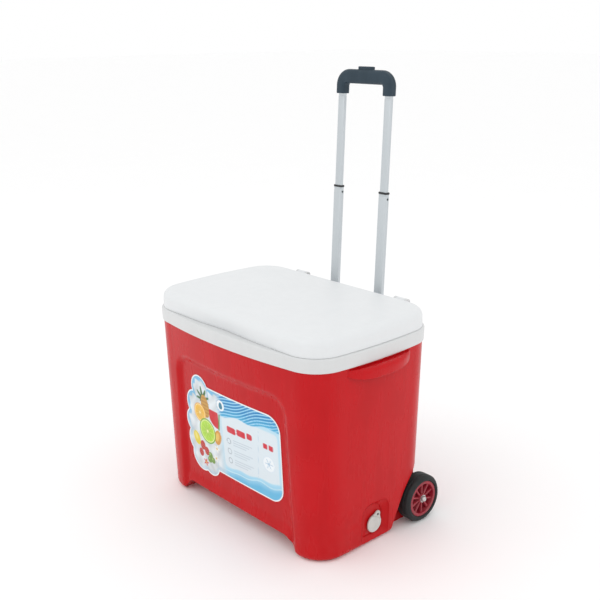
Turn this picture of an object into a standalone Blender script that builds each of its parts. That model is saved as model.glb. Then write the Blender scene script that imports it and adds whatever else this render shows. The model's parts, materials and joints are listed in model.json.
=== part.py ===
"""A wheeled cool box: insulated tub, hinged lid, drain plug, two wheels and a two-stage pull handle.

Metres, +Z up, front towards -Y, drain on the +X side. The frame's origin is the middle of the
object's footprint, on the ground.
"""

import math

import bmesh
import bpy
import numpy as np
from mathutils import Matrix

# ------------------------------------------------------------------ driving sizes
GAP = 0.0003  # air between pieces that seat on each other

# Overall sizes, which the rest follows
TOP_HALF_X = 0.2700
TOP_HALF_Y = 0.1746
SEAM_Z = 0.4439  # top of the collar, where the lid sits

# Outer shell
BASE_HALF_X = TOP_HALF_X - 0.0041
BASE_HALF_Y = TOP_HALF_Y - 0.0149
BASE_CORNER = 0.066
TOP_CORNER = 0.069
FRONT_BOW = 0.0150
SIDE_BOW = 0.0060
SHELL_WALL = 0.0025
BASE_FILLET = 0.0145
COLLAR_Z = SEAM_Z - 0.0293  # lower edge of the white collar

# Inner tub and its collar
TUB_TOP_HALF_X = TOP_HALF_X - 0.0270
TUB_TOP_HALF_Y = TOP_HALF_Y - 0.0266
TUB_BASE_HALF_X = BASE_HALF_X - 0.0379
TUB_BASE_HALF_Y = BASE_HALF_Y - 0.0237
TUB_CORNER = 0.042
TUB_FLOOR_Z = 0.078
TUB_WALL = 0.0022
TUB_FILLET = 0.018
COLLAR_PROUD = 0.0030
COLLAR_EDGE = 0.0045
FLANGE_THICK = 0.0030

# Lid
LID_SETBACK = 0.0035  # the lid's edge inside the collar's edge
LID_FRONT_BOW = 0.0020
LID_SIDE_BOW = 0.0050
LID_TOP_Z = SEAM_Z + 0.0376
LID_CROWN = 0.0030
LID_ROUND = 0.0170
LID_WALL = 0.0025
LID_SEAT = 0.0006
PLUG_DEPTH = 0.0140
PLUG_CLEARANCE = 0.0030
LID_SCOOP = 0.0050
LID_SCOOP_HALF = 0.110

# Lid hinges
HINGE_Y = TOP_HALF_Y + 0.0139
HINGE_Z = SEAM_Z + 0.0241
HINGE_X = TOP_HALF_X - 0.1110
BARREL_RADIUS = 0.0075
KNUCKLE_HALF = 0.0120
LUG_WIDTH = 0.0060
LUG_CLEARANCE = 0.0005
PIN_RADIUS = 0.0025
PIN_CLEARANCE = 0.0003
PIN_HEAD = 0.0012

# Underside, feet and front panel
NOTCH_Z = 0.0370
NOTCH_HALF_X = BASE_HALF_X - 0.0979
FOOT_INNER_X = BASE_HALF_X - 0.0629
NOTCH_ROUND = 0.006
PANEL_DEPTH = 0.0090
PANEL_TOP_Z = SEAM_Z - 0.0919
PANEL_TOP_HALF = TOP_HALF_X - 0.0860
PANEL_BASE_HALF = BASE_HALF_X - 0.0719
PANEL_BORDER = 0.0140
PANEL_CORNER = 0.045
PANEL_FADE_TOP = 0.060  # the recess runs out between these heights, above the raised underside
PANEL_FADE_LOW = 0.040
PANEL_LOW_DEPTH = 0.0015

# Wheels and axle
WHEEL_Y = BASE_HALF_Y - 0.0187
WHEEL_RADIUS = 0.0528
WHEEL_FACE_X = BASE_HALF_X + 0.0141
WHEEL_WIDTH = 0.0380
RIM_RADIUS = WHEEL_RADIUS - 0.0126
HUB_RADIUS = 0.0105
SPOKES = 10
AXLE_RADIUS = 0.0050
AXLE_CLEARANCE = 0.0002
AXLE_CAP = 0.0035
POCKET_EDGE = (  # (y from the axle, z) up the pocket's front edge and back over the tyre
    (-0.0990, -0.0140), (-0.0866, 0.0156), (-0.0718, 0.0482), (-0.0524, 0.0887), (-0.0450, 0.0990),
    (-0.0370, 0.1080), (-0.0210, 0.1200), (-0.0010, 0.1350), (0.0190, 0.1460), (0.1190, 0.1560),
)
WHEEL_SIDE_CLEARANCE = 0.0035
CHANNEL_HALF_Y = 0.0125
CHANNEL_ROOF = 0.0137  # channel's roof above the axle's middle
RETAINER_X = 0.100

# Drain
DRAIN_Y = 0.0065
DRAIN_Z = 0.0385
DRAIN_BORE = 0.0070
DRAIN_WALL = 0.0020
DRAIN_NUT_RADIUS = 0.0125
DRAIN_CAP_RADIUS = 0.0200
DRAIN_CAP_THICK = 0.0035
PLUG_LENGTH = 0.0060
PLUG_TIP_RADIUS = 0.0050
ALCOVE_FLOOR_X = BASE_HALF_X - 0.0119
ALCOVE_Y = 0.0005
ALCOVE_HALF_Y = 0.0415
ALCOVE_TOP_Z = 0.0955
ALCOVE_CORNER = 0.0170
ALCOVE_BEVEL = 0.0080
SUMP_LOW_X = TUB_BASE_HALF_X - 0.0320
SUMP_HALF_Y = 0.030
TETHER_LEAN = math.radians(28)
TETHER_FOLD = 0.0140  # strap's fold from the drain's middle
TETHER_PIN = 0.0205  # pinned end from the drain's middle
TETHER_FOLD_HALF = 0.0138
TETHER_END_HALF = 0.0080
FOLD_GAP = 0.0002
TETHER_PIN_RADIUS = 0.0016

# Side grips
LIP_HALF_Y = 0.092
LIP_REACH = 0.0200
LIP_TOP_Z = COLLAR_Z - 0.0046
LIP_HEIGHT = 0.0240
LIP_WALL = 0.0030

# Label
LABEL_LOW_Z = 0.0985
LABEL_TOP_Z = 0.2965
LABEL_LEFT_X = -0.094
LABEL_RIGHT_X = 0.158
LABEL_CORNER = 0.036
LABEL_THICK = 0.0004
LABEL_MIDDLE = (-0.060, 0.190)  # inside every lobe's reach
LABEL_RAYS = 84
LABEL_PANEL_HALF = 0.184  # the smallest panel that takes the label at full size
LABEL_PANEL_TOP = 0.352
LABEL_LOBES = (  # cloud lobes of the picture half: x, z, radius
    (-0.106, 0.284, 0.032),
    (-0.128, 0.240, 0.034),
    (-0.137, 0.195, 0.032),
    (-0.131, 0.150, 0.034),
    (-0.118, 0.115, 0.036),
    (-0.085, 0.108, 0.030),
)

# Pull handle, in its own leaning frame
HANDLE_Y = TOP_HALF_Y + 0.0138  # tubes' middle at ground level
HANDLE_LEAN = math.atan(0.05)
TUBE_X = 0.0702
FIXED_TUBE = (0.0280, 0.0160, 0.0012)
MIDDLE_TUBE = (0.0240, 0.0120, 0.0012)
UPPER_TUBE = (0.0200, 0.0090, 0.0010)
FIXED_LOW = 0.056
FIXED_TOP = COLLAR_Z - 0.0146
MIDDLE_TRAVEL = FIXED_TOP - 0.1160
UPPER_TRAVEL = MIDDLE_TRAVEL - 0.0780
UPPER_LAP = 0.098  # upper tube inside the middle one when drawn out
RING_SEAT = 0.0039  # ring above the fixed tube when pushed in
MIDDLE_LAP = 0.056  # middle tube inside the fixed one when drawn out
RING_HEIGHT = 0.0040
RING_OVERHANG = 0.0010
LOCK_DROP = 0.0130  # lock hole below the ring
LOCK_RADIUS = 0.0022
BRACKET_HALF_X = 0.0950
BRACKET_FRONT_GAP = 0.0006
BEZEL_LOW = COLLAR_Z - 0.0526
BEZEL_TOP = COLLAR_Z - 0.0121
FOOT_BRACKET_LOW = 0.050
FOOT_BRACKET_TOP = 0.082
BRACKET_BACK = 0.0130  # bracket behind the tubes' middle

# Grip and release button
GRIP_BAR_RISE = 0.0380  # bar's middle above the legs' ends
GRIP_BAR_HALF = 0.0155
GRIP_LEG_HALF = 0.0125
GRIP_DEPTH_HALF = 0.0125
GRIP_SHOULDER = 0.0210
GRIP_SCREW_X = 0.0400
GRIP_SCREW_SEAT = 0.0080  # screw head's seat behind the split
BUTTON_HALF_X = 0.0205
BUTTON_HALF_Y = 0.0065
BUTTON_RISE = 0.0220  # button's top above the bar's middle
BUTTON_TRAVEL = 0.0040
BAR_HALF_X = 0.0715
BAR_HALF_Y = 0.0030
BAR_HEIGHT = 0.0070
ROD_RADIUS = 0.0018

# Screws
SCREW_RADIUS = 0.0020
SCREW_HEAD = 0.0040

# Facets
CORNER_STEPS = 5
FRONT_STEPS = 8
SIDE_STEPS = 4
REAR_STEPS = 2
ROUND_STEPS = 28
SMALL_STEPS = 12

# Worked out from the sizes above
LABEL_SCALE = min(1.0, PANEL_TOP_HALF / LABEL_PANEL_HALF, PANEL_TOP_Z / LABEL_PANEL_TOP)
SUMP_FLOOR_Z = DRAIN_Z - DRAIN_NUT_RADIUS - 0.0005
TUB_LOW_Z = TUB_FLOOR_Z - TUB_WALL
FLANGE_LOW = SEAM_Z - FLANGE_THICK
RIM_TOP = FLANGE_LOW - GAP
AXLE_Z = WHEEL_RADIUS
AXLE_END_X = WHEEL_FACE_X - 0.0008
WHEEL_INNER_X = WHEEL_FACE_X - WHEEL_WIDTH
POCKET_INNER_X = WHEEL_INNER_X - WHEEL_SIDE_CLEARANCE
LID_LOW = SEAM_Z + LID_SEAT
MIDDLE_TOP = FIXED_TOP + RING_SEAT + RING_HEIGHT / 2 + MIDDLE_TRAVEL
UPPER_LOW = MIDDLE_TOP - UPPER_LAP
GRIP_LOW = MIDDLE_TOP + RING_HEIGHT / 2 + GAP + UPPER_TRAVEL
GRIP_BAR_Z = GRIP_LOW + GRIP_BAR_RISE
BUTTON_TOP = GRIP_BAR_Z + BUTTON_RISE
BAR_LOW = GRIP_BAR_Z - 0.0060
BAR_TOP = BAR_LOW + BAR_HEIGHT
LID_HALF_X = TOP_HALF_X + COLLAR_PROUD - LID_SETBACK
LID_HALF_Y = TOP_HALF_Y + COLLAR_PROUD - LID_SETBACK
FRAME_Y = 0.5 * (
    HANDLE_Y + math.sin(HANDLE_LEAN) * GRIP_BAR_Z + GRIP_DEPTH_HALF
    - TOP_HALF_Y - COLLAR_PROUD - FRONT_BOW
)


# ------------------------------------------------------------------ scene and materials
def clear_scene():
    for obj in list(bpy.data.objects):
        bpy.data.objects.remove(obj, do_unlink=True)


def finish(name, colour, roughness, metallic=0.0):
    """A Principled material with one colour."""
    material = bpy.data.materials.new(name)
    material.use_nodes = True
    shader = material.node_tree.nodes["Principled BSDF"]
    shader.inputs["Base Color"].default_value = (*colour, 1.0)
    shader.inputs["Roughness"].default_value = roughness
    shader.inputs["Metallic"].default_value = metallic
    return material


clear_scene()
RED = finish("red_shell", (0.55, 0.012, 0.02), 0.28)
WHITE = finish("white_plastic", (0.80, 0.82, 0.83), 0.35)
FOAM = finish("foam", (0.85, 0.80, 0.62), 0.9)
DARK = finish("dark_grip", (0.035, 0.055, 0.085), 0.45)
BLACK = finish("black_plastic", (0.02, 0.02, 0.022), 0.5)
ALUMINIUM = finish("aluminium", (0.60, 0.64, 0.66), 0.3, 1.0)
STEEL = finish("steel", (0.55, 0.55, 0.56), 0.3, 1.0)
TYRE = finish("tyre", (0.025, 0.03, 0.032), 0.7)
HUB = finish("wheel_red", (0.38, 0.008, 0.02), 0.35)
SEAL = finish("seal_rubber", (0.03, 0.03, 0.03), 0.8)
PRINT = finish("label", (0.35, 0.62, 0.80), 0.4)


# ------------------------------------------------------------------ frames and pivots
def pivot(name, position, parent, turn_x=0.0):
    """An empty that carries the pieces of one moving body, on its joint's axis."""
    empty = bpy.data.objects.new(name, None)
    bpy.context.scene.collection.objects.link(empty)
    empty.parent = parent
    empty.location = position
    empty.rotation_euler = (turn_x, 0.0, 0.0)
    return empty


FRAME = pivot("cooler_frame", (0.0, -FRAME_Y, 0.0), None)
LID_PIVOT = pivot("lid_pivot", (0.0, HINGE_Y, HINGE_Z), FRAME)
HANDLE = pivot("handle_frame", (0.0, HANDLE_Y, 0.0), FRAME, -HANDLE_LEAN)
MIDDLE_STAGE = pivot("middle_stage", (0.0, 0.0, 0.0), HANDLE)
UPPER_STAGE = pivot("upper_stage", (0.0, 0.0, 0.0), MIDDLE_STAGE)
RELEASE = pivot("release", (0.0, 0.0, 0.0), UPPER_STAGE)
WHEEL_PIVOTS = {
    side: pivot(f"wheel_pivot_{side}", (sign * WHEEL_FACE_X, WHEEL_Y, AXLE_Z), FRAME)
    for side, sign in (("left", -1), ("right", 1))
}
FOLD_Y = DRAIN_Y + TETHER_FOLD * math.sin(TETHER_LEAN)
FOLD_Z = DRAIN_Z + TETHER_FOLD * math.cos(TETHER_LEAN)
DRAIN_SEAT_X = ALCOVE_FLOOR_X + DRAIN_WALL + GAP
CAP_FACE_X = DRAIN_SEAT_X + DRAIN_CAP_THICK
CAP_PIVOT = pivot("drain_cap_pivot", (CAP_FACE_X, FOLD_Y, FOLD_Z), FRAME)


# ------------------------------------------------------------------ mesh tools
def piece(name, shape, material, parent=FRAME):
    """One object from points and faces given in the parent's frame, or in FRAME for a pivot."""
    points, faces = shape
    mesh = bpy.data.meshes.new(name)
    mesh.from_pydata([tuple(p) for p in points], [], [tuple(f) for f in faces])
    edit = bmesh.new()
    edit.from_mesh(mesh)
    bmesh.ops.remove_doubles(edit, verts=edit.verts, dist=1e-6)
    bmesh.ops.recalc_face_normals(edit, faces=edit.faces)
    edit.to_mesh(mesh)
    edit.free()
    mesh.shade_smooth()
    mesh.set_sharp_from_angle(angle=math.radians(35))
    if material:
        mesh.materials.append(material)
    obj = bpy.data.objects.new(name, mesh)
    bpy.context.scene.collection.objects.link(obj)
    obj.parent = parent
    if parent.parent is FRAME and parent is not HANDLE:
        obj.matrix_parent_inverse = Matrix.Translation(-parent.location)
    return obj


def tool(name, shape, parent=FRAME):
    """A shape that only cuts or joins, and is no piece of the object."""
    obj = piece(name, shape, None, parent)
    obj.hide_render = True
    obj.display_type = "WIRE"
    return obj


def change(obj, operation, *tools):
    """Adds one exact Boolean for each tool."""
    for other in tools:
        modifier = obj.modifiers.new(other.name, "BOOLEAN")
        modifier.operation = operation
        modifier.object = other
    return obj


def cut(obj, *tools):
    return change(obj, "DIFFERENCE", *tools)


def join(obj, *tools):
    return change(obj, "UNION", *tools)


def loft(rings, closed=False):
    """Skins equal rings in order, with every diagonal the same way so that nested skins stay parallel.

    An open stack gets a flat cap at each end.
    """
    count = len(rings[0])
    points = np.concatenate(rings)
    pairs = [(i, i + 1) for i in range(len(rings) - 1)]
    if closed:
        pairs.append((len(rings) - 1, 0))
    faces = []
    for a, b in pairs:
        for i in range(count):
            j = (i + 1) % count
            faces.append((a * count + i, a * count + j, b * count + j))
            faces.append((a * count + i, b * count + j, b * count + i))
    if not closed:
        faces.append(tuple(reversed(range(count))))
        faces.append(tuple(range(len(points) - count, len(points))))
    return points, faces


def at_height(outline, z):
    return np.column_stack((outline, np.full(len(outline), z)))


def bowed_outline(half_x, half_y, radius, front_bow, side_bow):
    """Rounded rectangle, anticlockwise, whose front and sides swell by a parabola between corners."""
    arcs = []
    for sign_x, sign_y, start in ((1, 1, 0), (-1, 1, 90), (-1, -1, 180), (1, -1, 270)):
        angle = np.radians(start + np.linspace(0, 90, CORNER_STEPS + 1))
        centre = np.array((sign_x * (half_x - radius), sign_y * (half_y - radius)))
        arcs.append(centre + radius * np.column_stack((np.cos(angle), np.sin(angle))))
    sides = (
        ((0, 1), 0.0, REAR_STEPS),
        ((-1, 0), side_bow, SIDE_STEPS),
        ((0, -1), front_bow, FRONT_STEPS),
        ((1, 0), side_bow, SIDE_STEPS),
    )
    points = []
    for index, (outward, bow, steps) in enumerate(sides):
        start, end = arcs[index][-1], arcs[(index + 1) % 4][0]
        share = np.linspace(0, 1, steps + 1)[1:-1, None]
        swell = bow * 4 * share * (1 - share)
        points += [arcs[index], start + (end - start) * share + np.array(outward) * swell]
    return np.concatenate(points)


def rounded_box_outline(size_x, size_y, radius, steps=3):
    points = []
    for sign_x, sign_y, start in ((1, 1, 0), (-1, 1, 90), (-1, -1, 180), (1, -1, 270)):
        angle = np.radians(start + np.linspace(0, 90, steps + 1))
        centre = np.array((sign_x * (size_x / 2 - radius), sign_y * (size_y / 2 - radius)))
        points.append(centre + radius * np.column_stack((np.cos(angle), np.sin(angle))))
    return np.concatenate(points)


def box(low, high):
    x, y = (low[0], high[0]), (low[1], high[1])
    outline = np.array(((x[0], y[0]), (x[1], y[0]), (x[1], y[1]), (x[0], y[1])))
    return loft([at_height(outline, low[2]), at_height(outline, high[2])])


def prism_x(outline, start, end):
    """Extrudes a (y, z) outline along X."""
    return loft([np.column_stack((np.full(len(outline), x), outline)) for x in (start, end)])


def prism_y(outline, start, end):
    """Extrudes an (x, z) outline along Y."""
    outline = np.asarray(outline)
    return loft([np.column_stack((outline[:, 0], np.full(len(outline), y),
        outline[:, 1])) for y in (start, end)])


def turned(profile, axis, centre, steps=ROUND_STEPS, closed=False):
    """Turns a (distance along, radius) profile about the axis 0, 1 or 2 through centre."""
    angle = np.linspace(0, 2 * math.pi, steps, endpoint=False) - math.pi / 2
    others = [i for i in range(3) if i != axis]
    rings = []
    for along, radius in profile:
        ring = np.zeros((steps, 3))
        ring[:, axis] = along
        ring[:, others[0]] = radius * np.cos(angle)
        ring[:, others[1]] = radius * np.sin(angle)
        rings.append(ring + np.asarray(centre))
    return loft(rings, closed)


# ------------------------------------------------------------------ tub sections
def shell_section(z, inset=0.0):
    """The shell's outline at a height. The walls lean out, and the bows grow, with height."""
    share = z / COLLAR_Z
    half_x = BASE_HALF_X + (TOP_HALF_X - BASE_HALF_X) * share - inset
    half_y = BASE_HALF_Y + (TOP_HALF_Y - BASE_HALF_Y) * share - inset
    radius = BASE_CORNER + (TOP_CORNER - BASE_CORNER) * share - inset
    return bowed_outline(half_x, half_y, radius, FRONT_BOW * share, SIDE_BOW * share)


def tub_section(z, grow=0.0):
    """The inner tub's outline at a height."""
    share = (z - TUB_FLOOR_Z) / (SEAM_Z - TUB_FLOOR_Z)
    half_x = TUB_BASE_HALF_X + (TUB_TOP_HALF_X - TUB_BASE_HALF_X) * share + grow
    half_y = TUB_BASE_HALF_Y + (TUB_TOP_HALF_Y - TUB_BASE_HALF_Y) * share + grow
    return bowed_outline(half_x, half_y, TUB_CORNER + grow, 0.0, 0.0)


def shell_solid(inset, low, top):
    """The shell's outside moved in by inset, with its rounded lower edge, from low to top."""
    fillet = BASE_FILLET - inset
    rings = []
    for angle in np.radians((0, 30, 60, 90)):
        z = low + fillet * (1 - math.cos(angle))
        rings.append(at_height(shell_section(z, inset + fillet * (1 - math.sin(angle))), z))
    for z in (*np.linspace(low + fillet, COLLAR_Z, 4)[1:], top):
        rings.append(at_height(shell_section(z, inset), z))
    return loft(rings)


# ------------------------------------------------------------------ hollows shared by shell and foam
def front_y(x, z):
    """The shell's front face between its corners."""
    share = z / COLLAR_Z
    half = BASE_HALF_X + (TOP_HALF_X - BASE_HALF_X) * share - BASE_CORNER - (TOP_CORNER - BASE_CORNER) * share
    flat = BASE_HALF_Y + (TOP_HALF_Y - BASE_HALF_Y) * share
    return -flat - FRONT_BOW * share * np.maximum(0.0, 1 - (x / half) ** 2)


def panel_half(z):
    """The panel widens towards the ground."""
    share = np.clip(z / PANEL_TOP_Z, -0.1, 1.1)
    return PANEL_BASE_HALF + (PANEL_TOP_HALF - PANEL_BASE_HALF) * share


def panel_hollow(grow):
    """What the front panel takes out of the shell, as upright columns that follow the bow.

    A column at u, from -1 to 1 across the panel, drops to a depth that rises over the border at
    each side, and its upper end slopes out over a border of the same width, round the corners.
    Over the raised underside the depth runs out again towards the lower edge.
    """
    slope = PANEL_DEPTH / PANEL_BORDER
    edge = grow + 0.0020
    border = PANEL_BORDER / PANEL_TOP_HALF
    reach = 1 + edge / PANEL_TOP_HALF
    inside = 1 - border + grow / PANEL_TOP_HALF
    across = np.concatenate(([-reach], np.linspace(-inside, inside, 13), [reach]))
    rings = []
    for u in across:
        at_border = abs(u) >= reach
        depth = -slope * edge + grow if at_border else PANEL_DEPTH + grow
        fade = 0.0 if abs(u) >= inside - 1e-6 else PANEL_DEPTH - PANEL_LOW_DEPTH
        bend = np.clip((abs(u) * PANEL_TOP_HALF - (PANEL_TOP_HALF - PANEL_CORNER)) / PANEL_CORNER, 0, 1)
        top = PANEL_TOP_Z + edge - PANEL_CORNER * (1 - math.sqrt(1 - bend**2))
        floor_top = top - max(depth - grow + slope * edge, 0.0) / slope - 1e-4
        middle = 0.5 * (PANEL_FADE_TOP + floor_top)
        z = np.array((-0.010, PANEL_FADE_LOW, PANEL_FADE_TOP, middle, floor_top, top, top, -0.010))
        x = u * panel_half(z)
        drop = np.array((depth - fade, depth - fade, depth, depth, depth, grow - slope * edge, 0.0, 0.0))
        y = front_y(x, z) + drop
        y[-2:] = -0.26
        rings.append(np.column_stack((x, y, z)))
    return loft(rings)


def notch(grow):
    """The raised underside between the side runners, with flared walls."""
    top = NOTCH_Z + grow
    low = -0.010
    flare = (FOOT_INNER_X - NOTCH_HALF_X) / NOTCH_Z
    half_low = FOOT_INNER_X + grow - flare * low
    half = NOTCH_HALF_X + grow
    outline = [
        (half_low, low), (half + flare * (top - NOTCH_Z + NOTCH_ROUND), top - NOTCH_ROUND),
        (half - NOTCH_ROUND, top), (-half + NOTCH_ROUND, top),
        (-half - flare * (top - NOTCH_Z + NOTCH_ROUND), top - NOTCH_ROUND), (-half_low, low),
    ]
    return prism_y(outline, -0.32, 0.32)


def axle_channel(grow):
    """The slot across the underside that holds the axle."""
    reach = POCKET_INNER_X + 0.004
    return box(
        (-reach, WHEEL_Y - CHANNEL_HALF_Y - grow, -0.012),
        (reach, WHEEL_Y + CHANNEL_HALF_Y + grow, AXLE_Z + CHANNEL_ROOF + grow),
    )


def wheel_pocket(sign, grow):
    """The pocket cut from a lower rear corner for the wheel, its edge moved out by grow."""
    edge = np.array(POCKET_EDGE) + (WHEEL_Y, 0.0)
    along = np.gradient(edge, axis=0)
    along /= np.linalg.norm(along, axis=1)[:, None]
    edge = edge + grow * np.column_stack((-along[:, 1], along[:, 0]))
    outline = np.concatenate((edge, ((edge[-1, 0], -0.014),)))
    ends = sorted((sign * (POCKET_INNER_X - grow), sign * 0.330))
    return prism_x(outline, *ends)


def alcove_outline(inset):
    top = ALCOVE_TOP_Z - inset
    half = ALCOVE_HALF_Y - inset
    radius = ALCOVE_CORNER - 0.5 * inset
    angle = np.radians(np.linspace(0, 90, 5))
    arc = np.column_stack((half - radius + radius * np.cos(angle), top - radius + radius * np.sin(angle)))
    low = np.array(((half, -0.011),))
    outline = np.concatenate((low, arc, arc[::-1] * (-1, 1), low * (-1, 1)))
    return outline + np.array((ALCOVE_Y, 0.0))


def alcove(grow):
    """The recess for the drain, with sloping sides."""
    rings = []
    mouth_x = BASE_HALF_X + 0.001
    for x, inset in (
        (ALCOVE_FLOOR_X - grow, ALCOVE_BEVEL - grow),
        (mouth_x - grow, -grow),
        (mouth_x + 0.05, -grow - 0.004),
    ):
        outline = alcove_outline(inset)
        rings.append(np.column_stack((np.full(len(outline), x), outline)))
    return loft(rings)


def hollows(tag, grow):
    """One tool for each hollow that both the shell and what lies behind it step round."""
    shapes = {
        "panel": panel_hollow(grow),
        "notch": notch(grow),
        "channel": axle_channel(grow),
        "pocket_left": wheel_pocket(-1, grow),
        "pocket_right": wheel_pocket(1, grow),
        "alcove": alcove(grow),
    }
    return [tool(f"{tag}_{name}", shape) for name, shape in shapes.items()]


def drain_hole(name, radius):
    return tool(name, turned(((0.15, radius), (0.30, radius)), 0, (0, DRAIN_Y, DRAIN_Z), 24))


# ------------------------------------------------------------------ side lips
def side_x(y, z):
    """The shell's side face between its corners."""
    share = z / COLLAR_Z
    flat = BASE_HALF_X + (TOP_HALF_X - BASE_HALF_X) * share
    half = BASE_HALF_Y - BASE_CORNER + (TOP_HALF_Y - TOP_CORNER - BASE_HALF_Y + BASE_CORNER) * share
    return flat + SIDE_BOW * share * np.maximum(0.0, 1 - (y / half) ** 2)


def lip_reach(along):
    """Full in the middle, falling to nothing at the two ends."""
    return np.sqrt(np.maximum(0.0, 1 - along**4))


def lip_shape(sign, low, top):
    """A crescent that swells from the side wall."""
    along = np.linspace(-1, 1, 13)
    y = along * LIP_HALF_Y
    sunk = 0.0030
    outer = np.column_stack((side_x(y, top) + (LIP_REACH + sunk) * lip_reach(along) - sunk, y))
    inside = TOP_HALF_X - 0.010
    inner = np.array(((inside, LIP_HALF_Y), (inside, -LIP_HALF_Y)))
    outline = np.concatenate((outer, inner)) * (sign, 1)
    return loft([at_height(outline, low), at_height(outline, top)])


def lip_hollow(sign):
    """The finger space under the lip, along the side wall's own bow."""
    along = np.linspace(-1, 1, 13)
    y = along * (LIP_HALF_Y - 2 * LIP_WALL)
    low, top = LIP_TOP_Z - LIP_HEIGHT - 0.01, LIP_TOP_Z - LIP_WALL
    wall = side_x(y, LIP_TOP_Z)
    outer = np.column_stack((wall + 2 * GAP + (LIP_REACH - LIP_WALL) * lip_reach(along), y))
    inner = np.column_stack((wall + GAP, y))[::-1]
    outline = np.concatenate((outer, inner)) * (sign, 1)
    return loft([at_height(outline, low), at_height(outline, top)])


# ------------------------------------------------------------------ outer shell
def screw_spots():
    """(x, y) of the screws that hold the axle's retainers."""
    reach = CHANNEL_HALF_Y + 0.0105
    return [(side * RETAINER_X, WHEEL_Y - reach) for side in (-1, 1)]


def build_shell():
    shell = piece("outer_shell", shell_solid(0.0, 0.0, RIM_TOP), RED)
    low, top = LIP_TOP_Z - LIP_HEIGHT, LIP_TOP_Z
    join(shell, *(tool(f"lip_{s}", lip_shape(s, low, top)) for s in (-1, 1)))
    cut(shell, *hollows("shell", 0.0))

    cavity = tool("shell_cavity", shell_solid(SHELL_WALL, SHELL_WALL, RIM_TOP + 0.01))
    cut(cavity, *hollows("cavity", SHELL_WALL))
    for index, (x, y) in enumerate(screw_spots()):
        boss = ((NOTCH_Z - 0.001, 0.0065), (NOTCH_Z + 0.0115, 0.0055))
        cut(cavity, tool(f"boss_{index}", turned(boss, 2, (x, y, 0), SMALL_STEPS)))
    cut(shell, cavity)
    cut(shell, drain_hole("shell_drain_hole", DRAIN_BORE + DRAIN_WALL + GAP))
    for index, (x, y) in enumerate(screw_spots()):
        hole = ((NOTCH_Z - 0.01, SCREW_RADIUS + GAP), (NOTCH_Z + 0.009, SCREW_RADIUS + GAP))
        cut(shell, tool(f"retainer_hole_{index}", turned(hole, 2, (x, y, 0), SMALL_STEPS)))
    cut(shell, *(tool(f"finger_space_{s}", lip_hollow(s)) for s in (-1, 1)))
    for index, (x, z) in enumerate(bracket_spots()):
        hole = ((0.10, SCREW_RADIUS + GAP), (0.24, SCREW_RADIUS + GAP))
        cut(shell, tool(f"bracket_hole_{index}", turned(hole, 1, (x, 0, z), SMALL_STEPS)))
    tether = ((0.245, TETHER_PIN_RADIUS + GAP), (0.28, TETHER_PIN_RADIUS + GAP))
    cut(shell, tool("tether_hole", turned(tether, 0, (0, *tether_point(1.0)), SMALL_STEPS)))
    return shell


# ------------------------------------------------------------------ inner tub
def sump_outline(grow):
    y = SUMP_HALF_Y + grow
    return np.array(((SUMP_LOW_X - grow, -y), (sump_end_x() + grow, -y), (sump_end_x() + grow, y),
        (SUMP_LOW_X - grow, y)))


def sump_end_x():
    """The sump's outer end, in line with the tub's side wall."""
    return TUB_BASE_HALF_X - 0.0025


def build_tub():
    wall, edge = TUB_WALL, COLLAR_EDGE
    low = TUB_LOW_Z
    fillet = TUB_FILLET
    rings = [
        at_height(tub_section(low, wall - fillet), low),
        at_height(tub_section(low, wall - 0.3 * fillet), low + 0.3 * fillet),
        at_height(tub_section(low + fillet, wall), low + fillet),
        at_height(tub_section(FLANGE_LOW, wall), FLANGE_LOW),
        at_height(shell_section(FLANGE_LOW, -GAP), FLANGE_LOW),
        at_height(shell_section(COLLAR_Z, -GAP), COLLAR_Z),
        at_height(shell_section(COLLAR_Z, -COLLAR_PROUD), COLLAR_Z),
        at_height(shell_section(SEAM_Z - edge, -COLLAR_PROUD), SEAM_Z - edge),
        at_height(shell_section(SEAM_Z, 0.3 * edge - COLLAR_PROUD), SEAM_Z - 0.3 * edge),
        at_height(shell_section(SEAM_Z, edge - COLLAR_PROUD), SEAM_Z),
        at_height(tub_section(SEAM_Z, 0.003), SEAM_Z),
        at_height(tub_section(SEAM_Z - 0.003, 0.0), SEAM_Z - 0.003),
        at_height(tub_section(TUB_FLOOR_Z + fillet, 0.0), TUB_FLOOR_Z + fillet),
        at_height(tub_section(TUB_FLOOR_Z, -0.3 * fillet), TUB_FLOOR_Z + 0.3 * fillet),
        at_height(tub_section(TUB_FLOOR_Z, -fillet), TUB_FLOOR_Z),
    ]
    tub = piece("inner_liner", loft(rings), WHITE)
    outer, inner = sump_outline(TUB_WALL), sump_outline(0.0)
    sump_top = TUB_FLOOR_Z + 0.012
    join(tub, tool("sump_outside", loft([at_height(outer, SUMP_FLOOR_Z - wall), at_height(outer,
        TUB_FLOOR_Z + 0.001)])))
    cut(tub, tool("sump_inside", loft([at_height(inner, SUMP_FLOOR_Z), at_height(inner, sump_top)])))
    cut(tub, drain_hole("tub_drain_hole", DRAIN_BORE + DRAIN_WALL + GAP))
    for sign in (-1, 1):
        for index, (start, end) in enumerate(lug_spans()):
            ends = sorted((sign * start, sign * end))
            join(tub, tool(f"lug_{sign}_{index}", prism_x(lug_outline(), *ends)))
        bore = ((HINGE_X - 0.03, PIN_RADIUS + PIN_CLEARANCE), (HINGE_X + 0.03, PIN_RADIUS + PIN_CLEARANCE))
        bore = tuple((sign * along, radius) for along, radius in bore)
        cut(tub, tool(f"lug_bore_{sign}", turned(bore, 0, (0, HINGE_Y, HINGE_Z), SMALL_STEPS)))
    return tub


def lug_spans():
    """The two collar lugs beside each lid knuckle, as |x| ranges."""
    inner = HINGE_X - KNUCKLE_HALF - LUG_CLEARANCE
    outer = HINGE_X + KNUCKLE_HALF + LUG_CLEARANCE
    return ((inner - LUG_WIDTH, inner), (outer, outer + LUG_WIDTH))


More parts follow.
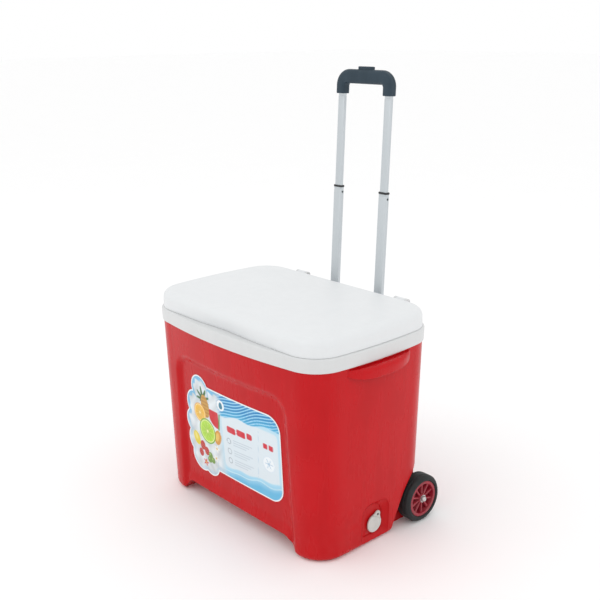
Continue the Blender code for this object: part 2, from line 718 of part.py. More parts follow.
def lug_outline():
    """From the collar's rear face up and round the hinge pin, in (y, z)."""
    face = TOP_HALF_Y + COLLAR_PROUD - 0.0012
    angle = np.radians(np.linspace(-20, 190, 9))
    arc = np.column_stack((HINGE_Y + BARREL_RADIUS * np.cos(angle), HINGE_Z + BARREL_RADIUS * np.sin(angle)))
    foot = np.array(((face + 0.004, SEAM_Z + 0.002), (face, SEAM_Z - 0.006), (face, COLLAR_Z + 0.006)))
    return np.concatenate((arc, foot))


# ------------------------------------------------------------------ foam
def build_foam():
    inset = SHELL_WALL + GAP
    foam = piece("body_foam", shell_solid(inset, inset, FLANGE_LOW - 0.002), FOAM)
    cut(foam, *hollows("foam", inset))
    for index, (x, y) in enumerate(screw_spots()):
        boss = ((NOTCH_Z - 0.001, 0.0065 + GAP), (NOTCH_Z + 0.0118, 0.0055 + GAP))
        cut(foam, tool(f"foam_boss_{index}", turned(boss, 2, (x, y, 0), SMALL_STEPS)))
    wall, low, fillet = TUB_WALL + GAP, TUB_LOW_Z - GAP, TUB_FILLET
    rings = [
        at_height(tub_section(low, wall - fillet), low),
        at_height(tub_section(low, wall - 0.3 * fillet), low + 0.3 * fillet),
        at_height(tub_section(low + fillet, wall), low + fillet),
        at_height(tub_section(SEAM_Z, wall), SEAM_Z),
    ]
    cut(foam, tool("tub_space", loft(rings)))
    outer = sump_outline(TUB_WALL + GAP)
    cut(foam, tool("sump_space", loft([at_height(outer, SUMP_FLOOR_Z - wall), at_height(outer,
        TUB_FLOOR_Z + 0.01)])))
    cut(foam, drain_hole("foam_drain_hole", DRAIN_NUT_RADIUS + GAP))
    for index, (x, z) in enumerate(bracket_spots()):
        hole = ((0.12, SCREW_RADIUS + GAP), (0.24, SCREW_RADIUS + GAP))
        cut(foam, tool(f"foam_screw_{index}", turned(hole, 1, (x, 0, z), SMALL_STEPS)))
    tether = ((0.235, TETHER_PIN_RADIUS + GAP), (0.28, TETHER_PIN_RADIUS + GAP))
    cut(foam, tool("foam_tether", turned(tether, 0, (0, *tether_point(1.0)), SMALL_STEPS)))
    return foam


# ------------------------------------------------------------------ lid
def lid_section(inset, scoop=0.0):
    """The lid's outline; the scoop draws the middle of its front edge back for the fingers."""
    radius = max(TOP_CORNER - inset, LID_ROUND)
    outline = bowed_outline(LID_HALF_X - inset, LID_HALF_Y - inset, radius, LID_FRONT_BOW, LID_SIDE_BOW)
    reach = np.abs(outline[:, 0]) / LID_SCOOP_HALF
    front = outline[:, 1] < -0.5 * LID_HALF_Y
    outline[:, 1] += np.where(front & (reach < 1),
        scoop * np.cos(0.5 * math.pi * np.minimum(reach, 1)) ** 2, 0.0)
    return outline


def lid_side(z, inset):
    """The lid's outline up its side, where the scoop fades from the lower edge to the shoulder."""
    share = (z - LID_LOW) / (LID_TOP_Z - LID_ROUND - LID_LOW)
    return lid_section(inset + 0.0004 * share, LID_SCOOP * (1 - 0.4 * share))


def lid_skin(inset, low):
    """Rings up the lid's side, round its upper edge and in over its crown."""
    shoulder = LID_TOP_Z - LID_ROUND
    rings = [at_height(lid_side(z, inset), z) for z in (low, shoulder)]
    for degrees in (30, 60, 90):
        angle = math.radians(degrees)
        z = shoulder + (LID_ROUND - inset) * math.sin(angle)
        rings.append(at_height(lid_section(inset + (LID_ROUND - inset) * (1 - math.cos(angle))), z))
    for share in (0.4, 0.8):
        z = LID_TOP_Z - inset + LID_CROWN * (1 - (1 - share) ** 2)
        rings.append(at_height(lid_section(LID_ROUND + share * 0.11), z))
    return rings


def knuckle_outline():
    angle = np.radians(np.linspace(-70, 170, 9))
    arc = np.column_stack((HINGE_Y + BARREL_RADIUS * np.cos(angle), HINGE_Z + BARREL_RADIUS * np.sin(angle)))
    rear = LID_HALF_Y - 0.0012
    arm = np.array(((rear, HINGE_Z + 0.002), (rear, HINGE_Z - 0.0065)))
    return np.concatenate((arc, arm))


def build_lid():
    outer = lid_skin(0.0, LID_LOW)
    inner = lid_skin(LID_WALL, LID_LOW)
    lid = piece("lid_top", loft(outer[::-1] + inner), WHITE, LID_PIVOT)
    for sign in (-1, 1):
        ends = sorted((sign * (HINGE_X - KNUCKLE_HALF), sign * (HINGE_X + KNUCKLE_HALF)))
        join(lid, tool(f"knuckle_{sign}", prism_x(knuckle_outline(), *ends), LID_PIVOT))
        bore = tuple((sign * (HINGE_X + d), PIN_RADIUS + PIN_CLEARANCE) for d in (-0.03, 0.03))
        cut(lid, tool(f"knuckle_bore_{sign}", turned(bore, 0, (0, HINGE_Y, HINGE_Z), SMALL_STEPS), LID_PIVOT))

    seat = LID_WALL + GAP
    plate_top = LID_LOW + 0.0022
    plug_low = LID_LOW - PLUG_DEPTH
    wall = 0.0022
    rings = [
        at_height(tub_section(SEAM_Z, -PLUG_CLEARANCE - 0.008), plug_low),
        at_height(tub_section(SEAM_Z, -PLUG_CLEARANCE - 0.002), plug_low + 0.003),
        at_height(tub_section(SEAM_Z, -PLUG_CLEARANCE), LID_LOW),
        at_height(lid_side(LID_LOW, seat), LID_LOW),
        at_height(lid_side(plate_top, seat), plate_top),
        at_height(tub_section(SEAM_Z, -PLUG_CLEARANCE - wall), plate_top),
        at_height(tub_section(SEAM_Z, -PLUG_CLEARANCE - 0.010), plug_low + wall),
    ]
    piece("lid_underside", loft(rings), WHITE, LID_PIVOT)

    foam_inset = LID_WALL + GAP
    skin = lid_skin(foam_inset, plate_top + GAP)
    rings = [
        at_height(tub_section(SEAM_Z, -PLUG_CLEARANCE - 0.0115), plug_low + wall + GAP),
        at_height(tub_section(SEAM_Z, -PLUG_CLEARANCE - wall - 0.001), plate_top + GAP),
    ]
    piece("lid_foam", loft(rings + skin), FOAM, LID_PIVOT)


def build_hinge_pins():
    spans = lug_spans()
    head = PIN_RADIUS + 0.0015
    for side, sign in (("left", -1), ("right", 1)):
        start, end = spans[0][0], spans[1][1]
        profile = (
            (start - GAP - PIN_HEAD, head), (start - GAP, head), (start - GAP, PIN_RADIUS),
            (end + GAP + PIN_HEAD, PIN_RADIUS), (end + GAP + PIN_HEAD, 0.6 * PIN_RADIUS),
        )
        profile = tuple((sign * along, radius) for along, radius in profile)
        piece(f"hinge_pin_{side}", turned(profile, 0, (0, HINGE_Y, HINGE_Z), SMALL_STEPS), STEEL)


# ------------------------------------------------------------------ label

def label_outline():
    """The edge of a rounded rectangle joined to the lobes, found along rays from one inner point."""
    centre = np.array(LABEL_MIDDLE)
    angle = np.linspace(0, 2 * math.pi, LABEL_RAYS, endpoint=False)
    ray = np.column_stack((np.cos(angle), np.sin(angle)))
    reach = np.zeros(len(angle))
    for x, z, radius in LABEL_LOBES:
        offset = np.array((x, z)) - centre
        along = ray @ offset
        inside = radius**2 - offset @ offset + along**2
        reach = np.maximum(reach, np.where(inside > 0, along + np.sqrt(np.maximum(inside, 0)), 0))
    low = np.array((LABEL_LEFT_X, LABEL_LOW_Z)) - centre
    high = np.array((LABEL_RIGHT_X, LABEL_TOP_Z)) - centre
    with np.errstate(divide="ignore"):
        exit_x = np.where(ray[:, 0] > 0, high[0] / ray[:, 0], low[0] / ray[:, 0])
        exit_z = np.where(ray[:, 1] >= 0, high[1] / ray[:, 1], low[1] / ray[:, 1])
    straight = np.minimum(np.nan_to_num(exit_x, nan=1.0), np.nan_to_num(exit_z, nan=1.0))
    corner_points = ray * straight[:, None]
    for sign, edge in ((1, high[1]), (-1, low[1])):
        centre_c = np.array((high[0] - LABEL_CORNER, edge - sign * LABEL_CORNER))
        near = (corner_points[:, 0] > centre_c[0]) & (sign * (corner_points[:, 1] - centre_c[1]) > 0)
        along = ray @ centre_c
        inside = LABEL_CORNER**2 - centre_c @ centre_c + along**2
        round_reach = along + np.sqrt(np.maximum(inside, 0))
        straight = np.where(near, np.minimum(straight, round_reach), straight)
    reach = np.maximum(reach, straight)
    return (centre + ray * reach[:, None]) * LABEL_SCALE


def build_label():
    """A thin sheet of the label's outline, sliced upright and laid on the bowed panel."""
    edge = label_outline()
    shape = prism_y(edge, 0.0, LABEL_THICK)
    label = piece("front_label", shape, PRINT)
    edit = bmesh.new()
    edit.from_mesh(label.data)
    for x in np.linspace(-0.14, 0.16, 16):
        parts = edit.verts[:] + edit.edges[:] + edit.faces[:]
        bmesh.ops.bisect_plane(edit, geom=parts, plane_co=(x, 0, 0), plane_no=(1, 0, 0), dist=1e-6)
    for vertex in edit.verts:
        x, y, z = vertex.co
        vertex.co.y = float(front_y(x, z)) + PANEL_DEPTH - 2 * GAP - LABEL_THICK + y
    edit.to_mesh(label.data)
    edit.free()


# ------------------------------------------------------------------ drain
def tether_point(share):
    """(y, z) a share of the way from the drain's middle to the strap's pinned end."""
    length = TETHER_PIN * share
    return DRAIN_Y + length * math.sin(TETHER_LEAN), DRAIN_Z + length * math.cos(TETHER_LEAN)


def strap(start, end, half_start, half_end, x_low, x_high, round_end=False):
    """A flat tapered strap between two distances from the drain's middle, along the lean."""
    outline = [(-half_start, start), (half_start, start), (half_end, end)]
    if round_end:
        for degrees in (35, 70, 110, 145):
            angle = math.radians(degrees)
            outline.append((half_end * math.cos(angle), end + half_end * math.sin(angle)))
    outline.append((-half_end, end))
    outline = np.array(outline)
    turn = np.array(((math.cos(TETHER_LEAN), -math.sin(TETHER_LEAN)),
        (math.sin(TETHER_LEAN), math.cos(TETHER_LEAN))))
    outline = outline @ turn + np.array((DRAIN_Y, DRAIN_Z))
    return prism_x(outline, x_low, x_high)


def build_drain():
    centre = (0, DRAIN_Y, DRAIN_Z)
    outer = DRAIN_BORE + DRAIN_WALL
    flange = DRAIN_BORE + 0.0055
    seat = ALCOVE_FLOOR_X + GAP
    inner_end = sump_end_x() - 0.0045
    spout = (
        (DRAIN_SEAT_X - GAP, DRAIN_BORE), (DRAIN_SEAT_X - GAP, flange), (seat, flange), (seat, outer),
        (inner_end, outer), (inner_end, DRAIN_BORE),
    )
    piece("drain_spout", turned(spout, 0, centre, 24, closed=True), WHITE)

    wall_inside = sump_end_x() - GAP
    nut = (
        (wall_inside - 0.0035, outer + GAP), (wall_inside - 0.0035, DRAIN_NUT_RADIUS - 0.001),
        (wall_inside, DRAIN_NUT_RADIUS - 0.001), (wall_inside, outer + GAP),
    )
    piece("drain_nut", turned(nut, 0, centre, 24, closed=True), WHITE)
    wall_outside = sump_end_x() + TUB_WALL + GAP
    gasket = (
        (wall_outside, outer + GAP), (wall_outside, DRAIN_NUT_RADIUS - 0.0005),
        (wall_outside + 0.002, DRAIN_NUT_RADIUS - 0.0005), (wall_outside + 0.002, outer + GAP),
    )
    piece("drain_gasket", turned(gasket, 0, centre, 24, closed=True), SEAL)

    x_low, x_high = DRAIN_SEAT_X, DRAIN_SEAT_X + DRAIN_CAP_THICK
    cap = (
        (x_high, DRAIN_CAP_RADIUS - 0.0012), (x_high - 0.0012, DRAIN_CAP_RADIUS), (x_low, DRAIN_CAP_RADIUS),
        (x_low, DRAIN_BORE - 0.0005), (x_low - PLUG_LENGTH, PLUG_TIP_RADIUS),
    )
    drain_cap = piece("drain_cap", turned(cap, 0, centre, 32), WHITE, CAP_PIVOT)
    far, wide = 2 * DRAIN_CAP_RADIUS, 2 * DRAIN_CAP_RADIUS
    beyond = strap(TETHER_FOLD - FOLD_GAP, far, wide, wide, x_low - 0.001, x_high + 0.001)
    cut(drain_cap, tool("beyond_fold", beyond, CAP_PIVOT))
    thin_low, thin_high = x_low + 0.0003, x_high - 0.0005
    halves = (TETHER_FOLD_HALF, TETHER_END_HALF)
    tether = strap(TETHER_FOLD + FOLD_GAP, TETHER_PIN, *halves, thin_low, thin_high, True)
    tether = piece("drain_tether", tether, WHITE)
    pin_y, pin_z = tether_point(1.0)
    hole = ((0.25, TETHER_PIN_RADIUS + GAP), (0.28, TETHER_PIN_RADIUS + GAP))
    cut(tether, tool("tether_eye", turned(hole, 0, (0, pin_y, pin_z), SMALL_STEPS)))
    top = x_high - 0.0005 + GAP
    pin = (
        (top + 0.0008, 0.0012), (top + 0.0005, 0.0024), (top, 0.0024),
        (top, TETHER_PIN_RADIUS), (ALCOVE_FLOOR_X - SHELL_WALL - 0.002, TETHER_PIN_RADIUS),
    )
    piece("drain_tether_pin", turned(pin, 0, (0, pin_y, pin_z), SMALL_STEPS), BLACK)


# ------------------------------------------------------------------ wheels and axle
def build_wheel(side, sign):
    parent = WHEEL_PIVOTS[side]
    centre = (0, WHEEL_Y, AXLE_Z)
    face, inner = WHEEL_FACE_X, WHEEL_INNER_X
    bead = RIM_RADIUS + GAP
    tyre = (
        (inner + 0.003, bead), (inner + 0.0005, bead + 0.003), (inner, WHEEL_RADIUS - 0.0060),
        (inner + 0.0055, WHEEL_RADIUS), (face - 0.0055, WHEEL_RADIUS),
        (face, WHEEL_RADIUS - 0.0060), (face - 0.0005, bead + 0.003), (face - 0.003, bead),
    )
    tyre = tuple((sign * along, radius) for along, radius in tyre)
    piece(f"tyre_{side}", turned(tyre, 0, centre, ROUND_STEPS, closed=True), TYRE, parent)

    bore = AXLE_RADIUS + AXLE_CLEARANCE
    rim = RIM_RADIUS - 0.0045
    web_out, web_in = face - 0.016, face - 0.020
    hub = (
        (face - 0.004, bore), (face - 0.004, HUB_RADIUS), (web_out, HUB_RADIUS), (web_out, rim),
        (face - 0.0025, rim), (face - 0.0025, RIM_RADIUS), (inner + 0.0025, RIM_RADIUS),
            (inner + 0.0025, rim),
        (web_in, rim), (web_in, HUB_RADIUS), (inner + 0.001, HUB_RADIUS), (inner + 0.001, bore),
    )
    hub = tuple((sign * along, radius) for along, radius in hub)
    hub = piece(f"hub_{side}", turned(hub, 0, centre, ROUND_STEPS, closed=True), HUB, parent)
    for index in range(SPOKES):
        turn = Matrix.Rotation(2 * math.pi * index / SPOKES, 3, "X")
        ends = sorted((sign * (web_out - 0.001), sign * (face - 0.0065)))
        points, faces = box((ends[0], -0.0011, HUB_RADIUS - 0.0012), (ends[1], 0.0011, rim + 0.0012))
        points = points @ np.array(turn).T + np.array(centre)
        join(hub, tool(f"spoke_{side}_{index}", (points, faces), parent))

    washer = ((face - 0.0037, bore), (face - 0.0037, 0.0085), (face - 0.0025, 0.0085), (face - 0.0025, bore))
    washer = tuple((sign * along, radius) for along, radius in washer)
    piece(f"wheel_washer_{side}", turned(washer, 0, centre, 20, closed=True), STEEL)
    wall = face - 0.0025 + GAP
    cap = (
        (face + AXLE_CAP, 0.0012), (face + AXLE_CAP - 0.0006, 0.0036), (face + AXLE_CAP - 0.0024, 0.0056),
        (wall, 0.0066), (wall, bore), (AXLE_END_X + GAP, bore),
    )
    cap = tuple((sign * along, radius) for along, radius in cap)
    piece(f"axle_cap_{side}", turned(cap, 0, centre, 20), STEEL)


def build_axle():
    axle = ((-AXLE_END_X, AXLE_RADIUS), (AXLE_END_X, AXLE_RADIUS))
    piece("axle", turned(axle, 0, (0, WHEEL_Y, AXLE_Z), 20), STEEL)
    plate_top = NOTCH_Z - GAP
    plate_low = plate_top - 0.003
    (_, screw_y), _ = screw_spots()
    for side, sign in (("left", -1), ("right", 1)):
        x = sign * RETAINER_X
        block_half_y = CHANNEL_HALF_Y - GAP
        front = screw_y - 0.0065
        outline = np.array((
            (front, plate_low), (WHEEL_Y + CHANNEL_HALF_Y + 0.010, plate_low),
            (WHEEL_Y + CHANNEL_HALF_Y + 0.010, plate_top), (WHEEL_Y + block_half_y, plate_top),
            (WHEEL_Y + block_half_y, AXLE_Z + CHANNEL_ROOF - GAP),
                (WHEEL_Y - block_half_y, AXLE_Z + CHANNEL_ROOF - GAP),
            (WHEEL_Y - block_half_y, plate_top), (front, plate_top),
        ))
        retainer = piece(f"axle_retainer_{side}", prism_x(outline, x - 0.011, x + 0.011), BLACK)
        bore = AXLE_RADIUS + AXLE_CLEARANCE
        cut(retainer, tool(f"retainer_bore_{side}",
            turned(((x - 0.02, bore), (x + 0.02, bore)), 0, (0, WHEEL_Y, AXLE_Z), 20)))
        hole = ((plate_low - 0.01, SCREW_RADIUS + GAP), (plate_top + 0.01, SCREW_RADIUS + GAP))
        cut(retainer, tool(f"retainer_eye_{side}", turned(hole, 2, (x, screw_y, 0), SMALL_STEPS)))
        head = plate_low - GAP
        screw = (
            (head - 0.0018, 0.0020), (head - 0.0010, SCREW_HEAD), (head, SCREW_HEAD),
            (head, SCREW_RADIUS), (NOTCH_Z + 0.0075, SCREW_RADIUS),
        )
        piece(f"retainer_screw_{side}", turned(screw, 2, (x, screw_y, 0), SMALL_STEPS), STEEL)


# ------------------------------------------------------------------ pull handle
def tube_ring(size_x, size_y, radius, x, z):
    outline = rounded_box_outline(size_x, size_y, radius) + np.array((x, 0.0))
    return at_height(outline, z)


def tube(size, x, low, top):
    """A rectangular tube with round corners, open at both ends."""
    size_x, size_y, wall = size
    radius = 0.33 * size_y
    hollow = (size_x - 2 * wall, size_y - 2 * wall, radius - wall)
    outer = (size_x, size_y, radius)
    return loft(
        [tube_ring(*outer, x, low), tube_ring(*outer, x, top), tube_ring(*hollow, x, top),
            tube_ring(*hollow, x, low)],
        closed=True,
    )


def to_frame(point):
    """A handle-frame (x, y, z) in FRAME's coordinates."""
    x, y, z = point
    turn_sin, turn_cos = math.sin(HANDLE_LEAN), math.cos(HANDLE_LEAN)
    return x, HANDLE_Y + y * turn_cos + z * turn_sin, z * turn_cos - y * turn_sin


def rear_face_y(z):
    """The shell's flat rear face."""
    return BASE_HALF_Y + (TOP_HALF_Y - BASE_HALF_Y) * z / COLLAR_Z


def bracket_spots():
    """(x, z) of the screws through the two handle brackets."""
    return [(0.0, 0.5 * (BEZEL_LOW + BEZEL_TOP)), (0.0, 0.5 * (FOOT_BRACKET_LOW + FOOT_BRACKET_TOP))]


def bracket(name, low, top, tube_low):
    """A block from the shell's rear face round both fixed tubes, hollowed from the rear between them."""
    back_low = to_frame((0, BRACKET_BACK, low))[1]
    back_top = to_frame((0, BRACKET_BACK, top))[1]
    outline = np.array((
        (rear_face_y(low) + BRACKET_FRONT_GAP, low), (back_low, low),
        (back_top, top), (rear_face_y(top) + BRACKET_FRONT_GAP, top),
    ))
    block = piece(name, prism_x(outline, -BRACKET_HALF_X, BRACKET_HALF_X), BLACK)
    bevel = block.modifiers.new("soft_edges", "BEVEL")
    bevel.width = 0.002
    bevel.segments = 1
    size_x, size_y, _ = FIXED_TUBE
    for sign in (-1, 1):
        grown = rounded_box_outline(size_x + 2 * GAP, size_y + 2 * GAP,
            0.33 * size_y + GAP) + np.array((sign * TUBE_X, 0))
        cut(block, tool(f"{name}_socket_{sign}",
            loft([at_height(grown, tube_low), at_height(grown, top + 0.03)]), HANDLE))
    half = TUBE_X - 0.5 * size_x - 0.0035
    front = rear_face_y(top) + 0.006
    window = box((-half, front, low + 0.004), (half, 0.30, top - 0.004))
    cut(block, tool(f"{name}_window", window))
    return block


def build_fixed_handle():
    top_bracket = bracket("handle_bezel", BEZEL_LOW, BEZEL_TOP, BEZEL_LOW - 0.03)
    foot_bracket = bracket("handle_foot", FOOT_BRACKET_LOW, FOOT_BRACKET_TOP, FIXED_LOW - GAP)
    for name, block, (x, z) in zip(("bezel", "foot"), (top_bracket, foot_bracket), bracket_spots()):
        hole = ((0.10, SCREW_RADIUS + GAP), (0.30, SCREW_RADIUS + GAP))
        cut(block, tool(f"{name}_eye", turned(hole, 1, (x, 0, z), SMALL_STEPS)))
        top = BEZEL_TOP if name == "bezel" else FOOT_BRACKET_TOP
        head = rear_face_y(top) + 0.006 + GAP
        screw = (
            (rear_face_y(z) - SHELL_WALL - 0.006, SCREW_RADIUS), (head, SCREW_RADIUS), (head, SCREW_HEAD),
            (head + 0.0010, SCREW_HEAD), (head + 0.0018, 0.0020),
        )
        piece(f"{name}_screw", turned(screw, 1, (x, 0, z), SMALL_STEPS), STEEL)
    for side, sign in (("left", -1), ("right", 1)):
        piece(f"fixed_tube_{side}", tube(FIXED_TUBE, sign * TUBE_X, FIXED_LOW, FIXED_TOP), ALUMINIUM, HANDLE)


def build_middle_stage():
    low = FIXED_TOP - MIDDLE_LAP
    ring_x, ring_y, _ = MIDDLE_TUBE
    for side, sign in (("left", -1), ("right", 1)):
        x = sign * TUBE_X
        middle = piece(
            f"middle_tube_{side}", tube(MIDDLE_TUBE, x, low, MIDDLE_TOP - RING_HEIGHT / 2 - GAP),
                ALUMINIUM, MIDDLE_STAGE
        )
        spot = (0, 0, MIDDLE_TOP - LOCK_DROP)
        hole = ((x + 0.006, LOCK_RADIUS + 0.0004), (x + 0.02, LOCK_RADIUS + 0.0004))
        cut(middle, tool(f"lock_hole_{side}", turned(hole, 0, spot, SMALL_STEPS), MIDDLE_STAGE))
        outer = (ring_x + 2 * RING_OVERHANG, ring_y + 2 * RING_OVERHANG, 0.33 * ring_y + RING_OVERHANG)
        upper_x, upper_y, _ = UPPER_TUBE
        bore = (upper_x + 4 * GAP, upper_y + 4 * GAP, 0.33 * upper_y)
        z_low, z_top = MIDDLE_TOP - RING_HEIGHT / 2, MIDDLE_TOP + RING_HEIGHT / 2
        rings = [tube_ring(*outer, x, z_low), tube_ring(*outer, x, z_top), tube_ring(*bore, x, z_top),
            tube_ring(*bore, x, z_low)]
        piece(f"middle_ring_{side}", loft(rings, closed=True), BLACK, MIDDLE_STAGE)


def grip_path(steps=7):
    """Up one leg, round the shoulder, across the bar and down again, as (x, z, half thickness)."""
    shoulder_z = GRIP_BAR_Z - GRIP_SHOULDER
    angle = np.radians(np.linspace(180, 90, steps))
    arc_x = -TUBE_X + GRIP_SHOULDER + GRIP_SHOULDER * np.cos(angle)
    arc_z = shoulder_z + GRIP_SHOULDER * np.sin(angle)
    half = GRIP_LEG_HALF + (GRIP_BAR_HALF - GRIP_LEG_HALF) * np.linspace(0, 1, steps)
    left = np.column_stack((arc_x, arc_z, half))
    start = np.array(((-TUBE_X, GRIP_LOW, GRIP_LEG_HALF - 0.0015),
        (-TUBE_X, GRIP_LOW + 0.0015, GRIP_LEG_HALF)))
    left = np.concatenate((start, left))
    return np.concatenate((left, left[::-1] * (-1, 1, 1)))


def grip_half(sign):
    """Half of a superellipse section swept along the path, flat where the two halves meet."""
    path = grip_path()
    ahead = np.vstack((path[1:2], path[2:], path[-1:]))
    behind = np.vstack((path[:1], path[:-2], path[-2:-1]))
    along = (ahead - behind)[:, :2]
    along /= np.linalg.norm(along, axis=1)[:, None]
    angle = np.radians(np.linspace(0, 180, 9))
    power = 2 / 3.2
    side = np.sign(np.cos(angle)) * np.abs(np.cos(angle)) ** power
    deep = sign * (GAP / 2 + (GRIP_DEPTH_HALF - GAP / 2) * np.sin(angle) ** power)
    rings = []
    for (x, z, half), (run_x, run_z) in zip(path, along):
        out = np.array((-run_z, run_x))
        centre = np.array((x, z))
        flat = centre + np.outer(side * half, out)
        rings.append(np.column_stack((flat[:, 0], deep, flat[:, 1])))
    return loft(rings)


def build_upper_stage():
    tube_top = GRIP_BAR_Z - GRIP_BAR_HALF + 0.004
    size_x, size_y, _ = UPPER_TUBE
    for name, half in (("grip_front", -1), ("grip_rear", 1)):
        shell = piece(name, grip_half(half), DARK, UPPER_STAGE)
        for sign in (-1, 1):
            socket = rounded_box_outline(size_x + 2 * GAP, size_y + 2 * GAP, 0.33 * size_y + GAP)
            socket = socket + np.array((sign * TUBE_X, 0))
            space = loft([at_height(socket, GRIP_LOW - 0.01), at_height(socket, tube_top + GAP)])
            cut(shell, tool(f"{name}_socket_{sign}", space, UPPER_STAGE))
            rod = ROD_RADIUS + 0.0012
            rod_space = turned(((tube_top - 0.004, rod), (BAR_LOW + 0.001, rod)), 2,
                (sign * TUBE_X, 0, 0), SMALL_STEPS)
            cut(shell, tool(f"{name}_rod_space_{sign}", rod_space, UPPER_STAGE))
        bar_space = box(
            (-BAR_HALF_X - 0.0008, -BAR_HALF_Y - 0.0008, BAR_LOW - BUTTON_TRAVEL - 0.0008),
            (BAR_HALF_X + 0.0008, BAR_HALF_Y + 0.0008, BAR_TOP + 0.0008),
        )
        cut(shell, tool(f"{name}_bar_space", bar_space, UPPER_STAGE))
        well = box(
            (-BUTTON_HALF_X - 0.0005, -BUTTON_HALF_Y - 0.0005, BAR_TOP - BUTTON_TRAVEL - 0.0005),
            (BUTTON_HALF_X + 0.0005, BUTTON_HALF_Y + 0.0005, 0.98),
        )
        cut(shell, tool(f"{name}_button_well", well, UPPER_STAGE))
        spring_space = turned(((BAR_LOW - 0.0068, 0.0042), (BAR_LOW - 0.001, 0.0042)), 2, (0, 0, 0),
            SMALL_STEPS)
        cut(shell, tool(f"{name}_spring_space", spring_space, UPPER_STAGE))
        for sign in (-1, 1):
            screw_hole = turned(((-0.0105, SCREW_RADIUS + GAP), (0.03, SCREW_RADIUS + GAP)), 1,
                grip_screw_spot(sign), SMALL_STEPS)
            cut(shell, tool(f"{name}_screw_hole_{sign}", screw_hole, UPPER_STAGE))
            sink = turned(((GRIP_SCREW_SEAT, SCREW_HEAD + 0.0004), (0.03, SCREW_HEAD + 0.0004)), 1,
                grip_screw_spot(sign), SMALL_STEPS)
            cut(shell, tool(f"{name}_screw_sink_{sign}", sink, UPPER_STAGE))
    for side, sign in (("left", -1), ("right", 1)):
        x = sign * TUBE_X
        upper = piece(f"upper_tube_{side}", tube(UPPER_TUBE, x, UPPER_LOW, tube_top), ALUMINIUM, UPPER_STAGE)
        spot = (0, 0, MIDDLE_TOP - LOCK_DROP)
        hole = ((x + 0.006, LOCK_RADIUS + GAP), (x + 0.02, LOCK_RADIUS + GAP))
        cut(upper, tool(f"pin_hole_{side}", turned(hole, 0, spot, SMALL_STEPS), UPPER_STAGE))
        inner_face = 0.5 * MIDDLE_TUBE[0] - MIDDLE_TUBE[2]
        pin = ((x + 0.0045, LOCK_RADIUS), (x + inner_face - GAP - 0.0006, LOCK_RADIUS),
            (x + inner_face - GAP, 0.0014))
        piece(f"lock_pin_{side}", turned(pin, 0, spot, SMALL_STEPS), BLACK, UPPER_STAGE)
        screw = (
            (-0.0095, SCREW_RADIUS), (GRIP_SCREW_SEAT + GAP, SCREW_RADIUS),
                (GRIP_SCREW_SEAT + GAP, SCREW_HEAD),
            (GRIP_SCREW_SEAT + 0.0012, SCREW_HEAD), (GRIP_SCREW_SEAT + 0.0018, 0.0020),
        )
        piece(f"grip_screw_{side}", turned(screw, 1, grip_screw_spot(sign), SMALL_STEPS), STEEL, UPPER_STAGE)


def grip_screw_spot(sign):
    """A clear place in the bar between the button and the leg."""
    return sign * GRIP_SCREW_X, 0, BAR_TOP + 0.0044


def build_release():
    outline = rounded_box_outline(2 * BUTTON_HALF_X, 2 * BUTTON_HALF_Y, 0.003)
    shrunk = rounded_box_outline(2 * BUTTON_HALF_X - 0.003, 2 * BUTTON_HALF_Y - 0.003, 0.002)
    rings = [at_height(outline, BAR_TOP + GAP), at_height(outline, BUTTON_TOP - 0.0015),
        at_height(shrunk, BUTTON_TOP)]
    piece("release_button", loft(rings), DARK, RELEASE)
    bar = box((-BAR_HALF_X, -BAR_HALF_Y, BAR_LOW), (BAR_HALF_X, BAR_HALF_Y, BAR_TOP))
    piece("release_bar", bar, BLACK, RELEASE)
    for side, sign in (("left", -1), ("right", 1)):
        rod = ((MIDDLE_TOP - LOCK_DROP + 0.008, ROD_RADIUS), (BAR_LOW - GAP, ROD_RADIUS))
        piece(f"release_rod_{side}", turned(rod, 2, (sign * TUBE_X, 0, 0), 8), STEEL, RELEASE)
    piece("button_spring", spring(0.0028, 0.0004, BAR_LOW - 0.0064, BAR_LOW - GAP - 0.0003, 3), STEEL,
        UPPER_STAGE)


def spring(radius, wire, low, top, turns):
    """A round wire along a helix, capped at its ends."""
    count = 10 * turns
    share = np.linspace(0, 1, count + 1)
    angle = 2 * math.pi * turns * share
    rise = low + wire + (top - low - 2 * wire) * share
    rings = []
    section = np.radians(np.arange(0, 360, 72))
    for turn, z in zip(angle, rise):
        out = np.array((math.cos(turn), math.sin(turn), 0.0))
        centre = radius * out + np.array((0.0, 0.0, z))
        rings.append(centre + wire * (np.outer(np.cos(section), out) + np.outer(np.sin(section),
            (0.0, 0.0, 1.0))))
    return loft(rings)


# ------------------------------------------------------------------ the whole object
build_shell()
build_tub()
build_foam()
build_lid()
build_hinge_pins()
build_label()
build_drain()
for wheel_side, wheel_sign in (("left", -1), ("right", 1)):
    build_wheel(wheel_side, wheel_sign)
build_axle()
build_fixed_handle()
build_middle_stage()
build_upper_stage()
build_release()
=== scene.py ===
# %% [markdown]
# # Looks of a wheeled cool box
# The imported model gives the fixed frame: where every piece sits and what it moves with. This file
# dresses it. Faceted pieces that show are replaced by finer surfaces with the same sizes, small
# fittings keep their CAD shape with smooth shading, and everything gets a procedural finish.
# Sizes are in metres in a body frame whose y is measured from the middle of the moulded shell.

# %% Load the frame
import json
import math

import bmesh
import bpy
import numpy as np
from mathutils import Matrix, Vector

